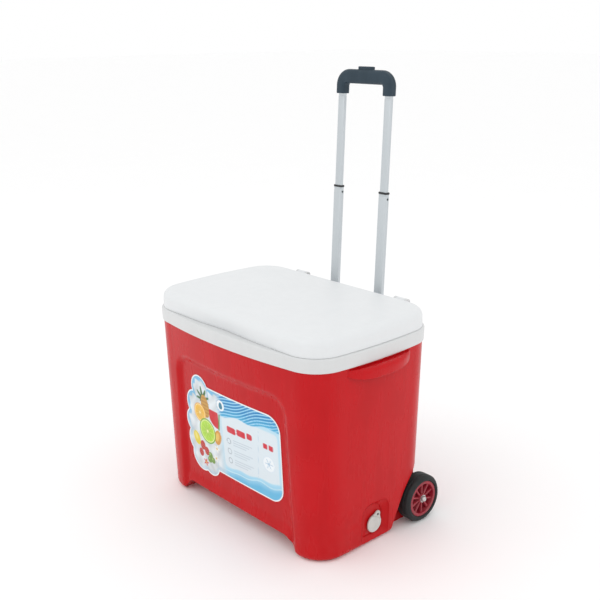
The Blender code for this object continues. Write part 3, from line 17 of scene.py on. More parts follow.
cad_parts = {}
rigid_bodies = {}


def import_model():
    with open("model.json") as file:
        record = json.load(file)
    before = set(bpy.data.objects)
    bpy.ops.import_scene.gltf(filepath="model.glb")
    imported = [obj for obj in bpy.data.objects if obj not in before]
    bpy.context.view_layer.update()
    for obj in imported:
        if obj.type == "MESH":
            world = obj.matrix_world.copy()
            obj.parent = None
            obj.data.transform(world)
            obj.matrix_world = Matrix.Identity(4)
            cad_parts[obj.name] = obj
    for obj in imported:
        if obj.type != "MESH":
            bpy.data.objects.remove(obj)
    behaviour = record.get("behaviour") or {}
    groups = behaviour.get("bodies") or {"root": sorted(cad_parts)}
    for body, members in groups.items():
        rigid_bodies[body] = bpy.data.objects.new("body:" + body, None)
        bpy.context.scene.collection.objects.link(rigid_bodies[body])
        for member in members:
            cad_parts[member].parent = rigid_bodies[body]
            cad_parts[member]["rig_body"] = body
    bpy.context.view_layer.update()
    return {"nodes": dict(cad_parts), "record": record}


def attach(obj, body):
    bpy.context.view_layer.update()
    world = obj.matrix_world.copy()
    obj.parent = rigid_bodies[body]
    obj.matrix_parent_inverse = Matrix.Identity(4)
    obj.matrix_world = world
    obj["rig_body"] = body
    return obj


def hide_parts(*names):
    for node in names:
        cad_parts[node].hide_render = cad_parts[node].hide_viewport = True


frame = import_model()
JOINTS = {joint["name"]: joint for joint in frame["record"]["behaviour"]["joints"]}
WHEEL_Y = 0.1410
AXLE = np.array(JOINTS["wheel_right_spin"]["pos_m"])
SHIFT_Y = AXLE[1] - WHEEL_Y
print("nodes", len(frame["nodes"]), "body frame shifted by", round(float(SHIFT_Y), 5))

# %% [markdown]
# ## Mesh helpers
# A skin is a stack of rings with the same number of points. Rows run along the stack and columns
# round each ring, so a face joins point (row, column) to its three neighbours. A closed skin has
# a signed volume, the sum of the little tetrahedra from the origin to each triangle. If that sum
# is negative the skin is inside out and every face is turned over.

# %% Helpers that put surfaces into meshes
def ring_faces(rows, columns, wrap_rows=False):
    """Quads between neighbouring rings: (r, c), (r, c + 1), (r + 1, c + 1), (r + 1, c)."""
    r = np.arange(rows if wrap_rows else rows - 1)[:, None]
    c = np.arange(columns)[None, :]
    up, right = (r + 1) % rows, (c + 1) % columns
    quads = np.stack(np.broadcast_arrays(r * columns + c, r * columns + right, up * columns + right,
        up * columns + c), -1)
    return quads.reshape(-1, 4).tolist()


def signed_volume(points, faces):
    """One sixth of the sum of p0 . (p1 x p2) over the fan triangles of every face."""
    fans = [(face[0], face[i], face[i + 1]) for face in faces for i in range(1, len(face) - 1)]
    a, b, c = (points[np.array(fans)[:, i]] for i in range(3))
    return float(np.einsum("ij,ij->", a, np.cross(b, c)) / 6)


def skin(rings, wrap_rows=False):
    """A closed shape from rings (rows, columns, 3): capped at both ends, or joined end to end."""
    rings = np.asarray(rings, float)
    rows, columns = rings.shape[:2]
    points = rings.reshape(-1, 3)
    faces = ring_faces(rows, columns, wrap_rows)
    if not wrap_rows:
        faces.append(list(range(columns))[::-1])
        faces.append(list(range((rows - 1) * columns, rows * columns)))
    if signed_volume(points - points.mean(axis=0), faces) < 0:
        faces = [face[::-1] for face in faces]
    return points, faces


def together(*shapes):
    """Several closed shapes as one list of points and faces."""
    points, faces, start = [], [], 0
    for shape_points, shape_faces in shapes:
        points.append(shape_points)
        faces += [[index + start for index in face] for face in shape_faces]
        start += len(shape_points)
    return np.concatenate(points), faces


def shade(mesh, degrees):
    """Smooth shading, with an edge kept crisp where its faces meet at more than the angle."""
    mesh.shade_smooth()
    mesh.set_sharp_from_angle(angle=math.radians(degrees))


def put(name, shape, body, finish, stands_for=(), crisp=38, shifted=True):
    """A mesh object that rides on a body, in the frame's own place."""
    points, faces = shape
    if shifted:
        points = points + np.array((0.0, SHIFT_Y, 0.0))
    mesh = bpy.data.meshes.new(name)
    mesh.from_pydata(points.tolist(), [], faces)
    mesh.validate()
    shade(mesh, crisp)
    piece = bpy.data.objects.new(name, mesh)
    bpy.context.scene.collection.objects.link(piece)
    mesh.materials.append(finish)
    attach(piece, body)
    if stands_for:
        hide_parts(*stands_for)
    print(name, len(mesh.polygons), "faces")
    return piece


def carve(shape, tools):
    """The shape less every tool, by one exact Boolean."""
    collection = bpy.data.collections.new("carving")
    bpy.context.scene.collection.children.link(collection)
    made = []
    for index, (points, faces) in enumerate((shape, *tools)):
        mesh = bpy.data.meshes.new(f"carving_{index}")
        mesh.from_pydata(points.tolist(), [], faces)
        thing = bpy.data.objects.new(f"carving_{index}", mesh)
        (collection if index else bpy.context.scene.collection).objects.link(thing)
        made.append(thing)
    step = made[0].modifiers.new("carve", "BOOLEAN")
    step.operation, step.solver = "DIFFERENCE", "EXACT"
    step.operand_type, step.collection = "COLLECTION", collection
    bpy.context.view_layer.update()
    result = made[0].evaluated_get(bpy.context.evaluated_depsgraph_get()).to_mesh()
    points = np.empty(len(result.vertices) * 3)
    result.vertices.foreach_get("co", points)
    faces = [list(polygon.vertices) for polygon in result.polygons]
    made[0].evaluated_get(bpy.context.evaluated_depsgraph_get()).to_mesh_clear()
    for thing in made:
        mesh = thing.data
        bpy.data.objects.remove(thing)
        bpy.data.meshes.remove(mesh)
    bpy.data.collections.remove(collection)
    return points.reshape(-1, 3), faces


# %% [markdown]
# ## Finishes
# Moulded plastic isn't one flat colour. Pigment drifts a little, the skin has a fine orange-peel
# texture, and a used box carries faint scuffs. Each of these effects is a node group that gives a
# mask or a height, and every plastic on the box mixes them in its own amounts. A Bump node turns
# the height into a normal. The shine itself stays in each material's Principled shader.

# %% Node helpers and shared effects
def group(name, inputs, outputs):
    """An empty shader group with float inputs (name, value) and float outputs."""
    tree = bpy.data.node_groups.new(name, "ShaderNodeTree")
    for label, value in inputs:
        socket = tree.interface.new_socket(name=label, in_out="INPUT", socket_type="NodeSocketFloat")
        socket.default_value = value
    for label in outputs:
        tree.interface.new_socket(name=label, in_out="OUTPUT", socket_type="NodeSocketFloat")
    return tree, tree.nodes.new("NodeGroupInput"), tree.nodes.new("NodeGroupOutput")


def node(tree, kind, **settings):
    made = tree.nodes.new(kind)
    for key, value in settings.items():
        if key in made.inputs:
            made.inputs[key].default_value = value
        else:
            setattr(made, key, value)
    return made


def maths(tree, operation, first, second=0.5, third=None):
    """A Math node whose operands are sockets or numbers."""
    made = tree.nodes.new("ShaderNodeMath")
    made.operation = operation
    for index, operand in enumerate((first, second, third)):
        if operand is None:
            continue
        if isinstance(operand, (int, float)):
            made.inputs[index].default_value = operand
        else:
            tree.links.new(operand, made.inputs[index])
    return made.outputs[0]


def smooth_range(tree, value, low, high, to_low=0.0, to_high=1.0):
    made = node(tree, "ShaderNodeMapRange", interpolation_type="SMOOTHSTEP")
    tree.links.new(value, made.inputs["Value"])
    for key, number in (("From Min", low), ("From Max", high), ("To Min", to_low), ("To Max", to_high)):
        made.inputs[key].default_value = number
    return made.outputs["Result"]


def noise(tree, vector, scale, detail=3.0, roughness=0.5):
    made = node(tree, "ShaderNodeTexNoise", Detail=detail, Roughness=roughness)
    tree.links.new(vector, made.inputs["Vector"])
    if isinstance(scale, (int, float)):
        made.inputs["Scale"].default_value = scale
    else:
        tree.links.new(scale, made.inputs["Scale"])
    return made.outputs["Fac"]


def stretched(tree, vector, stretch):
    made = node(tree, "ShaderNodeMapping")
    made.inputs["Scale"].default_value = stretch
    tree.links.new(vector, made.inputs["Vector"])
    return made.outputs["Vector"]


def moulded_skin_group():
    """Height: fine grain plus slow waves. Drift: slow pigment change. Both are 0 to 1."""
    tree, inside, outside = group("moulded_skin", (("Grain", 900.0), ("Waves", 14.0)), ("Height", "Drift"))
    place = node(tree, "ShaderNodeTexCoord").outputs["Object"]
    fine = noise(tree, place, inside.outputs["Grain"], 2.0)
    slow = noise(tree, place, inside.outputs["Waves"], 2.0)
    height = maths(tree, "ADD", maths(tree, "MULTIPLY", fine, 0.12), maths(tree, "MULTIPLY", slow, 0.9))
    tree.links.new(height, outside.inputs["Height"])
    upright = noise(tree, stretched(tree, place, (38.0, 38.0, 4.0)), 1.0, 4.0, 0.6)
    drift = maths(tree, "ADD", maths(tree, "MULTIPLY", upright, 0.6), maths(tree, "MULTIPLY", slow, 0.4))
    tree.links.new(smooth_range(tree, drift, 0.34, 0.66), outside.inputs["Drift"])
    return tree


def scuffs_group():
    """Marks: thin crossing scratches that come and go in patches."""
    tree, inside, outside = group("scuffs", (("Amount", 0.5),), ("Marks",))
    place = node(tree, "ShaderNodeTexCoord").outputs["Object"]
    lines = []
    for stretch in ((420.0, 420.0, 9.0), (12.0, 12.0, 520.0)):
        streak = noise(tree, stretched(tree, place, stretch), 1.0, 2.0, 0.7)
        lines.append(smooth_range(tree, streak, 0.66, 0.74))
    patches = smooth_range(tree, noise(tree, place, 16.0, 3.0), 0.5, 0.68)
    both = maths(tree, "MAXIMUM", lines[0], lines[1])
    marks = maths(tree, "MULTIPLY", maths(tree, "MULTIPLY", both, patches), inside.outputs["Amount"])
    tree.links.new(marks, outside.inputs["Marks"])
    return tree


def road_dust_group():
    """Dust: more of it near the ground and in the hollows of a cloudy pattern."""
    tree, inside, outside = group("road_dust", (("Reach", 0.12),), ("Dust",))
    coordinates = node(tree, "ShaderNodeTexCoord").outputs["Object"]
    split = node(tree, "ShaderNodeSeparateXYZ")
    tree.links.new(coordinates, split.inputs[0])
    share = maths(tree, "DIVIDE", split.outputs["Z"], inside.outputs["Reach"])
    low = maths(tree, "SUBTRACT", 1.0, share)
    cloud = noise(tree, coordinates, 45.0, 5.0, 0.65)
    dust = maths(tree, "MULTIPLY", smooth_range(tree, low, 0.0, 1.0), smooth_range(tree, cloud, 0.35, 0.75))
    tree.links.new(dust, outside.inputs["Dust"])
    return tree


MOULDED_SKIN = moulded_skin_group()
SCUFFS = scuffs_group()
ROAD_DUST = road_dust_group()
print("effect groups", [tree.name for tree in bpy.data.node_groups])


# %% One recipe for every moulded plastic
def use_group(tree, effect, **values):
    made = tree.nodes.new("ShaderNodeGroup")
    made.node_tree = effect
    for key, value in values.items():
        made.inputs[key].default_value = value
    return made


def mix_colour(tree, factor, first, second):
    made = tree.nodes.new("ShaderNodeMix")
    made.data_type = "RGBA"
    tree.links.new(factor, made.inputs["Factor"])
    for index, colour in ((6, first), (7, second)):
        if isinstance(colour, tuple):
            made.inputs[index].default_value = (*colour, 1.0)
        else:
            tree.links.new(colour, made.inputs[index])
    return made.outputs[2]


def plastic(name, colour, deep, roughness, grain=900.0, bump=0.10, waves=14.0, dust=0.15, scuff=0.35,
    metal=0.0, shine=0.5):
    """Colour drifts to a deeper tone, scuffs and dust lighten it, and both raise the roughness."""
    material = bpy.data.materials.new(name)
    material.use_nodes = True
    tree = material.node_tree
    shader = tree.nodes["Principled BSDF"]
    shader.inputs["Metallic"].default_value = metal
    shader.inputs["Specular IOR Level"].default_value = shine
    surface = use_group(tree, MOULDED_SKIN, Grain=grain, Waves=waves)
    marks = use_group(tree, SCUFFS, Amount=scuff).outputs["Marks"]
    dusty = maths(tree, "MULTIPLY", use_group(tree, ROAD_DUST).outputs["Dust"], dust)
    tone = mix_colour(tree, surface.outputs["Drift"], deep, colour)
    pale = tuple(min(1.0, 0.25 + 0.75 * channel) for channel in colour)
    tone = mix_colour(tree, maths(tree, "MULTIPLY", marks, 0.35), tone, pale)
    tone = mix_colour(tree, dusty, tone, (0.42, 0.38, 0.33))
    tree.links.new(tone, shader.inputs["Base Color"])
    rough = smooth_range(tree, surface.outputs["Drift"], 0.0, 1.0, roughness + 0.05, roughness - 0.02)
    rough = maths(tree, "ADD", rough, maths(tree, "MULTIPLY", maths(tree, "ADD", marks, dusty), 0.35))
    tree.links.new(rough, shader.inputs["Roughness"])
    relief = node(tree, "ShaderNodeBump", Strength=bump, Distance=0.0012)
    height = maths(tree, "SUBTRACT", surface.outputs["Height"], maths(tree, "MULTIPLY", marks, 0.2))
    tree.links.new(height, relief.inputs["Height"])
    tree.links.new(relief.outputs["Normal"], shader.inputs["Normal"])
    return material


RED_SHELL = plastic("red_shell_plastic", (0.530, 0.0032, 0.0070), (0.485, 0.0026, 0.0056), 0.27, 700.0,
    0.05, dust=0.02, scuff=0.06, shine=0.20)
WHITE = plastic("white_lid_plastic", (0.745, 0.762, 0.772), (0.735, 0.752, 0.762), 0.38, 1100.0, 0.03,
    9.0, 0.02, 0.10)
# A greyer copy of the lid's white. The grey is painted shade, so the collar's face, the tub and the lugs
# read darker than the lid.
LINER_WHITE_PAINTED_SHADE = plastic("white_liner_plastic_painted_shade", (0.665, 0.675, 0.676), (0.645, 0.655, 0.657), 0.36, 1100.0,
    0.03, 9.0, 0.03, 0.10)
DRAIN_WHITE = plastic("drain_plug_rubber", (0.640, 0.650, 0.620), (0.560, 0.570, 0.545), 0.50, 1500.0,
    0.15, 40.0, 0.10, 0.2)
GRIP_DARK = plastic("grip_soft_plastic", (0.022, 0.044, 0.064), (0.017, 0.036, 0.053), 0.48, 2600.0,
    0.30, 30.0, 0.0, 0.2, shine=0.35)
BRACKET_BLACK = plastic("bracket_black_plastic", (0.022, 0.023, 0.025), (0.014, 0.014, 0.016), 0.50,
    1800.0, 0.30, 25.0, 0.10, 0.3)
WHEEL_RED = plastic("wheel_centre_plastic", (0.360, 0.008, 0.028), (0.270, 0.005, 0.020), 0.34, 1200.0,
    0.10, 40.0, 0.15, 0.5)
FOAM = plastic("insulating_foam", (0.840, 0.790, 0.600), (0.740, 0.680, 0.480), 0.85, 500.0, 0.8, 60.0,
    0.0, 0.0)
SEAL = plastic("seal_rubber_black", (0.030, 0.030, 0.030), (0.020, 0.020, 0.020), 0.70, 1800.0, 0.3,
    40.0, 0.0, 0.2)
print("plastics", len(bpy.data.materials))


# %% [markdown]
# ## Rubber and metal
# The tyre is hard black rubber: matt, with a fine tooth and grey road dust on the rolling face.
# The handle tubes are drawn aluminium, anodised to a pale grey. Drawing leaves fine lines along
# the tube, so their noise is stretched along z. Screws, pins and the axle are plated steel.

# %% Tyre rubber
def tyre_rubber():
    material = bpy.data.materials.new("tyre_rubber")
    material.use_nodes = True
    tree = material.node_tree
    shader = tree.nodes["Principled BSDF"]
    shader.inputs["Specular IOR Level"].default_value = 0.3
    place = node(tree, "ShaderNodeTexCoord").outputs["Object"]
    surface = use_group(tree, MOULDED_SKIN, Grain=1600.0, Waves=60.0)
    cloud = smooth_range(tree, noise(tree, place, 70.0, 6.0, 0.7), 0.42, 0.72)
    tone = mix_colour(tree, surface.outputs["Drift"], (0.011, 0.014, 0.015), (0.018, 0.022, 0.023))
    tone = mix_colour(tree, maths(tree, "MULTIPLY", cloud, 0.05), tone, (0.30, 0.28, 0.25))
    tree.links.new(tone, shader.inputs["Base Color"])
    tree.links.new(smooth_range(tree, cloud, 0.0, 1.0, 0.55, 0.78), shader.inputs["Roughness"])
    relief = node(tree, "ShaderNodeBump", Strength=0.35, Distance=0.001)
    tree.links.new(surface.outputs["Height"], relief.inputs["Height"])
    tree.links.new(relief.outputs["Normal"], shader.inputs["Normal"])
    return material


def drawn_metal(name, colour, roughness, stretch, bump=0.06, tint=(0.9, 0.9, 0.9)):
    """Metal whose fine lines run the way it was drawn or turned, with slow handling marks."""
    material = bpy.data.materials.new(name)
    material.use_nodes = True
    tree = material.node_tree
    shader = tree.nodes["Principled BSDF"]
    shader.inputs["Metallic"].default_value = 1.0
    place = node(tree, "ShaderNodeTexCoord").outputs["Object"]
    lines = noise(tree, stretched(tree, place, stretch), 1.0, 3.0, 0.6)
    smears = smooth_range(tree, noise(tree, place, 30.0, 4.0, 0.6), 0.35, 0.7)
    darker = tuple(channel * shade_of for channel, shade_of in zip(colour, tint))
    tree.links.new(mix_colour(tree, smooth_range(tree, lines, 0.3, 0.7), darker, colour),
        shader.inputs["Base Color"])
    rough = maths(tree, "ADD", smooth_range(tree, lines, 0.3, 0.7, roughness - 0.05, roughness + 0.05),
        maths(tree, "MULTIPLY", smears, 0.08))
    tree.links.new(rough, shader.inputs["Roughness"])
    relief = node(tree, "ShaderNodeBump", Strength=bump, Distance=0.0004)
    tree.links.new(lines, relief.inputs["Height"])
    tree.links.new(relief.outputs["Normal"], shader.inputs["Normal"])
    return material


TYRE = tyre_rubber()
TUBE_ALUMINIUM = drawn_metal("anodised_tube_aluminium", (0.600, 0.640, 0.665), 0.42, (2400.0, 2400.0, 6.0))
PLATED_STEEL = drawn_metal("plated_steel", (0.620, 0.620, 0.610), 0.28, (900.0, 900.0, 900.0))
print("metals and rubber ready")


# %% [markdown]
# ## Outline of the shell, tub and lid
# Every level of the box is a rounded rectangle whose front and sides swell a little. The swell is
# a parabola, bow * 4 s (1 - s), with s from 0 to 1 along the side. A parabola meets its corner at
# a small angle, so the ring is then averaged with its neighbours, which rounds the join away.

# %% Outlines as arrays of rings
CORNER_POINTS, REAR_POINTS, SIDE_POINTS = 24, 90, 46
EDGE_SHARE = 0.10
FRONT_SHARES = np.concatenate((
    np.linspace(0, EDGE_SHARE, 23), np.linspace(EDGE_SHARE, 1 - EDGE_SHARE, 72)[1:-1],
        np.linspace(1 - EDGE_SHARE, 1, 23),
))[1:-1]


def outlines(half_x, half_y, radius, front_bow=0.0, side_bow=0.0, soften=5):
    """Rings (rows, columns, 2), anticlockwise from the rear right corner. A size is a column of values."""
    sizes = np.broadcast_arrays(*(np.atleast_1d(np.asarray(size, float)) for size in (half_x, half_y,
        radius, front_bow, side_bow)))
    half_x, half_y, radius, front_bow, side_bow = (size[:, None] for size in sizes)
    sides = (
        (0, 1, 0 * front_bow, np.linspace(0, 1, REAR_POINTS + 1)[1:-1]),
        (-1, 0, side_bow, np.linspace(0, 1, SIDE_POINTS + 1)[1:-1]),
        (0, -1, front_bow, FRONT_SHARES),
        (1, 0, side_bow, np.linspace(0, 1, SIDE_POINTS + 1)[1:-1]),
    )
    signs = ((1, 1), (-1, 1), (-1, -1), (1, -1))
    runs_x, runs_y = [], []
    for index, (out_x, out_y, bow, share) in enumerate(sides):
        sign_x, sign_y = signs[index]
        turn = np.radians(90 * index + np.linspace(0, 90, CORNER_POINTS + 1))
        arc_x = sign_x * (half_x - radius) + radius * np.cos(turn)
        arc_y = sign_y * (half_y - radius) + radius * np.sin(turn)
        next_x, next_y = signs[(index + 1) % 4]
        end_x = next_x * (half_x - radius) + radius * np.cos(turn[-1])
        end_y = next_y * (half_y - radius) + radius * np.sin(turn[-1])
        swell = bow * 4 * share * (1 - share)
        runs_x += [arc_x, arc_x[:, -1:] + (end_x - arc_x[:, -1:]) * share + out_x * swell]
        runs_y += [arc_y, arc_y[:, -1:] + (end_y - arc_y[:, -1:]) * share + out_y * swell]
    rings = np.stack((np.concatenate(runs_x, axis=1), np.concatenate(runs_y, axis=1)), axis=-1)
    for _ in range(soften):
        rings = 0.5 * rings + 0.25 * (np.roll(rings, 1, axis=1) + np.roll(rings, -1, axis=1))
    return rings


def raised(rings, z):
    """Puts each flat ring at its height, which may be one value a ring or one a point."""
    height = np.asarray(z, float)
    height = height[:, None] if height.ndim == 1 else height
    return np.concatenate((rings, np.broadcast_to(height, rings.shape[:2])[..., None]), axis=-1)


def along_y(outline, low, high):
    """A straight prism of an (x, z) outline between two values of y."""
    outline = np.asarray(outline, float)
    return skin([np.column_stack((outline[:, 0], np.full(len(outline), y),
        outline[:, 1])) for y in (low, high)])


def along_x(outline, low, high):
    """A straight prism of a (y, z) outline between two values of x."""
    outline = np.asarray(outline, float)
    return skin([np.column_stack((np.full(len(outline), x), outline)) for x in (low, high)])


def block(low, high):
    """A rectangular block between two corners."""
    return along_x(((low[1], low[2]), (high[1], low[2]), (high[1], high[2]), (low[1], high[2])), low[0],
        high[0])


# %% [markdown]
# ## Red outer shell
# The real shell is one injection moulding. Its walls lean out with height, the lower edge is
# rounded, and the front has a wide shallow panel for the label. The panel's depth is a function
# of how far a point lies inside its outline: a straight slope with softly rounded ends. Low down
# the panel runs out again, which leaves a proud band above the raised underside. The wheel
# pockets, the passage underneath, the axle's slot and the drain's recess are then carved out.

# %% Sizes of the shell
BASE_X, BASE_Y, BASE_CORNER = 0.2659, 0.1597, 0.066
TOP_X, TOP_Y, TOP_CORNER = 0.2700, 0.1746, 0.069
FRONT_BOW, SIDE_BOW = 0.0150, 0.0060
COLLAR_Z, SEAM_Z = 0.4146, 0.4439
RIM_TOP = SEAM_Z - 0.0033
LOWER_EDGE = 0.0145
SHELL_WALL = 0.0025
PANEL_DEPTH, PANEL_LOW_DEPTH = 0.0090, 0.0015
PANEL_TOP_Z, PANEL_TOP_X, PANEL_BASE_X = 0.352, 0.184, 0.194
PANEL_BORDER, PANEL_CORNER = 0.0140, 0.045
NOTCH_Z, NOTCH_X, FOOT_X = 0.0370, 0.168, 0.203


def shell_rings(z, inset):
    """The shell's outline at each height, moved in by inset: base + (top - base) z / collar height."""
    share = np.asarray(z) / COLLAR_Z
    return outlines(
        BASE_X + (TOP_X - BASE_X) * share - inset, BASE_Y + (TOP_Y - BASE_Y) * share - inset,
        BASE_CORNER + (TOP_CORNER - BASE_CORNER) * share - inset, FRONT_BOW * share, SIDE_BOW * share,
    )


def front_face(x, z):
    """y of the shell's front before the panel: a flat minus a parabola that grows with height."""
    share = np.asarray(z) / COLLAR_Z
    half = BASE_X - BASE_CORNER + (TOP_X - BASE_X - TOP_CORNER + BASE_CORNER) * share
    flat = BASE_Y + (TOP_Y - BASE_Y) * share
    return -flat - FRONT_BOW * share * np.maximum(0.0, 1 - (x / half) ** 2)


def soft_ramp(t, crisp=9.0):
    """0 below 0, 1 above 1, straight between, with rounded ends: a difference of two log(1 + exp)."""
    return (np.logaddexp(0, crisp * t) - np.logaddexp(0, crisp * (t - 1))) / crisp


def panel_depth(x, z):
    """Depth of the panel below the front face, from the signed distance to its rounded outline."""
    share = np.clip(z / PANEL_TOP_Z, -0.1, 1.1)
    half = PANEL_BASE_X + (PANEL_TOP_X - PANEL_BASE_X) * share
    over_x = np.abs(x) - (half - PANEL_CORNER)
    over_z = z - (PANEL_TOP_Z - PANEL_CORNER)
    outside = np.hypot(np.maximum(over_x, 0),
        np.maximum(over_z, 0)) + np.minimum(np.maximum(over_x, over_z), 0) - PANEL_CORNER
    depth = PANEL_DEPTH * soft_ramp(-outside / PANEL_BORDER)
    ease = soft_ramp((z - 0.040) / 0.016, 7.0)
    between = soft_ramp((half - PANEL_BORDER + 0.004 - np.abs(x)) / 0.010, 6.0)
    keep = 1 - (1 - PANEL_LOW_DEPTH / PANEL_DEPTH) * (1 - ease) * between
    return depth * keep


def shell_skin(heights, inset):
    """Rings up the shell with the panel pressed in. The first rings follow the rounded lower edge."""
    edge = LOWER_EDGE - inset
    turn = np.radians(np.linspace(0, 90, 9))
    low_z = inset + edge * (1 - np.cos(turn))
    z = np.concatenate((low_z, heights))
    insets = np.concatenate((inset + edge * (1 - np.sin(turn)), np.full(len(heights), inset)))
    rings = raised(shell_rings(z, insets), z)
    front = rings[..., 1] < -0.12
    rings[..., 1] += np.where(front, panel_depth(rings[..., 0], rings[..., 2]), 0.0)
    return rings


HEIGHTS = np.concatenate((
    np.linspace(0.0165, 0.030, 5), np.linspace(0.032, 0.062, 16), np.linspace(0.066, 0.300, 42),
    np.linspace(0.304, 0.362, 28), np.linspace(0.370, RIM_TOP, 14),
))
WELL_FLOOR = NOTCH_Z + SHELL_WALL
outer_rings = shell_skin(HEIGHTS, 0.0)
well = raised(shell_rings(np.linspace(WELL_FLOOR, RIM_TOP, 24), SHELL_WALL + PANEL_DEPTH),
    np.linspace(WELL_FLOOR, RIM_TOP, 24))
shell_wall = skin(np.concatenate((outer_rings, well[::-1])))
print("shell rings", outer_rings.shape, "volume litres", round(signed_volume(*shell_wall) * 1000, 2))

# %% Hollows that are carved from the shell
WHEEL_RADIUS, WHEEL_FACE_X, WHEEL_WIDTH = 0.0528, 0.2800, 0.0380
POCKET_INNER_X = WHEEL_FACE_X - WHEEL_WIDTH - 0.0035
POCKET_EDGE = np.array((
    (0.0420, -0.014), (0.0544, 0.0156), (0.0692, 0.0482), (0.0886, 0.0887), (0.0960, 0.0990),
    (0.1040, 0.1080), (0.1200, 0.1200), (0.1400, 0.1350), (0.1600, 0.1460), (0.2600, 0.1560),
))
DRAIN_Y, DRAIN_Z = 0.0065, 0.0385
ALCOVE_FLOOR_X, ALCOVE_Y, ALCOVE_HALF, ALCOVE_TOP = 0.2540, 0.0005, 0.0415, 0.0955
ALCOVE_CORNER, ALCOVE_SLOPE = 0.0280, 0.0130
ALCOVE_SILL, SILL_CORNER = 0.0030, 0.0080


def smoothed_line(points, count=60):
    """A polyline made finer by chord length and then averaged along itself."""
    run = np.concatenate(((0.0,), np.cumsum(np.linalg.norm(np.diff(points, axis=0), axis=1))))
    fine = np.linspace(0, run[-1], count)
    line = np.column_stack([np.interp(fine, run, points[:, axis]) for axis in range(2)])
    for _ in range(12):
        line[1:-1] = 0.5 * line[1:-1] + 0.25 * (line[:-2] + line[2:])
    return line


def notch_tool():
    """A flared passage between the feet, with rounded upper corners."""
    flare = (FOOT_X - NOTCH_X) / NOTCH_Z
    turn = np.linspace(0, 1, 9)
    knee = 0.010
    side_x = NOTCH_X + flare * knee * (1 - turn) ** 2 - knee * turn**2
    side_z = NOTCH_Z - knee * (1 - turn) ** 2
    right = np.column_stack((side_x, side_z))
    low = np.array(((FOOT_X + flare * 0.012, -0.012),))
    return along_y(np.concatenate((low, right, right[::-1] * (-1, 1), low * (-1, 1))), -0.32, 0.32)


def pocket_outline(grow):
    line = smoothed_line(POCKET_EDGE)
    run = np.gradient(line, axis=0)
    run /= np.linalg.norm(run, axis=1)[:, None]
    line = line + grow * np.column_stack((-run[:, 1], run[:, 0]))
    return np.concatenate((line, ((0.26, -0.014),)))


def alcove_rings(grow):
    """The drain's recess: an arch over a low sill that widens from floor to mouth along a smooth S."""
    rings = []
    mouth_x = BASE_X + 0.0012
    rise = np.linspace(0, 1, 11)
    stations = list(zip(ALCOVE_FLOOR_X + (mouth_x + 0.0004 - ALCOVE_FLOOR_X) * rise,
        ALCOVE_SLOPE * (1 - rise**2 * (3 - 2 * rise))))
    for x, inset in (*stations, (mouth_x + 0.05, -0.012)):
        top, half = ALCOVE_TOP - inset + grow, ALCOVE_HALF - inset + grow
        radius = ALCOVE_CORNER - 0.2 * inset
        turn = np.radians(np.linspace(0, 90, 17))
        arc = np.column_stack((half - radius + radius * np.cos(turn), top - radius + radius * np.sin(turn)))
        sill = ALCOVE_SILL + inset - grow
        turn = np.radians(np.linspace(-90, 0, 9))
        low = np.column_stack((half - SILL_CORNER + SILL_CORNER * np.cos(turn),
            sill + SILL_CORNER + SILL_CORNER * np.sin(turn)))
        outline = np.concatenate((low, arc, arc[::-1] * (-1, 1), low[::-1] * (-1, 1))) + (ALCOVE_Y, 0.0)
        rings.append(np.column_stack((np.full(len(outline), x - grow), outline)))
    return rings


def turned(profile, centre, steps=64, axis=0, closed=False):
    """A profile of (along, radius) turned about an axis: radius cos t and radius sin t across it."""
    profile = np.asarray(profile, float)
    turn = np.linspace(0, 2 * math.pi, steps, endpoint=False)
    rings = np.empty((len(profile), steps, 3))
    across = [index for index in range(3) if index != axis]
    rings[..., axis] = profile[:, :1]
    rings[..., across[0]] = profile[:, 1:] * np.cos(turn)
    rings[..., across[1]] = profile[:, 1:] * np.sin(turn)
    return skin(rings + np.asarray(centre, float), wrap_rows=closed)


def rounded_profile(corners, radii, steps=6):
    """A polyline of (along, radius) whose corners are cut by arcs, given as quadratic curves."""
    corners = np.asarray(corners, float)
    line = []
    for index, (corner, radius) in enumerate(zip(corners, radii)):
        if radius == 0:
            line.append(corner[None])
            continue
        before, after = corners[index - 1], corners[(index + 1) % len(corners)]
        start = corner + (before - corner) / np.linalg.norm(before - corner) * radius
        end = corner + (after - corner) / np.linalg.norm(after - corner) * radius
        t = np.linspace(0, 1, steps + 1)[:, None]
        line.append((1 - t) ** 2 * start + 2 * t * (1 - t) * corner + t**2 * end)
    return np.concatenate(line)


CHANNEL_HALF, CHANNEL_ROOF = 0.0125, 0.0137
channel = block(
    (-POCKET_INNER_X - 0.004, WHEEL_Y - CHANNEL_HALF, -0.012),
    (POCKET_INNER_X + 0.004, WHEEL_Y + CHANNEL_HALF, WHEEL_RADIUS + CHANNEL_ROOF),
)
pockets = [along_x(pocket_outline(0.0), *sorted((side * POCKET_INNER_X, side * 0.33))) for side in (-1, 1)]
alcove = skin(alcove_rings(0.0))
drain_hole = turned(((0.15, 0.0093), (0.30, 0.0093)), (0, DRAIN_Y, DRAIN_Z), 48)
hollows = [notch_tool(), channel, *pockets, alcove, drain_hole]
carved_wall = carve(shell_wall, hollows)
print("carved shell", len(carved_wall[1]), "faces")


# %% Linings of the pockets, the axle's slot and the drain recess
PROUD = 0.0001  # a lining stands this far in front of the wall that was carved, so no two faces coincide


def outside_of_shell():
    """A big block with the shell's own shape cut out, used to trim a lining to the shell's surface."""
    plug = skin(shell_skin(HEIGHTS, 0.0012))
    return carve(block((-0.40, -0.40, -0.019), (0.40, 0.40, RIM_TOP + 0.019)), [plug])


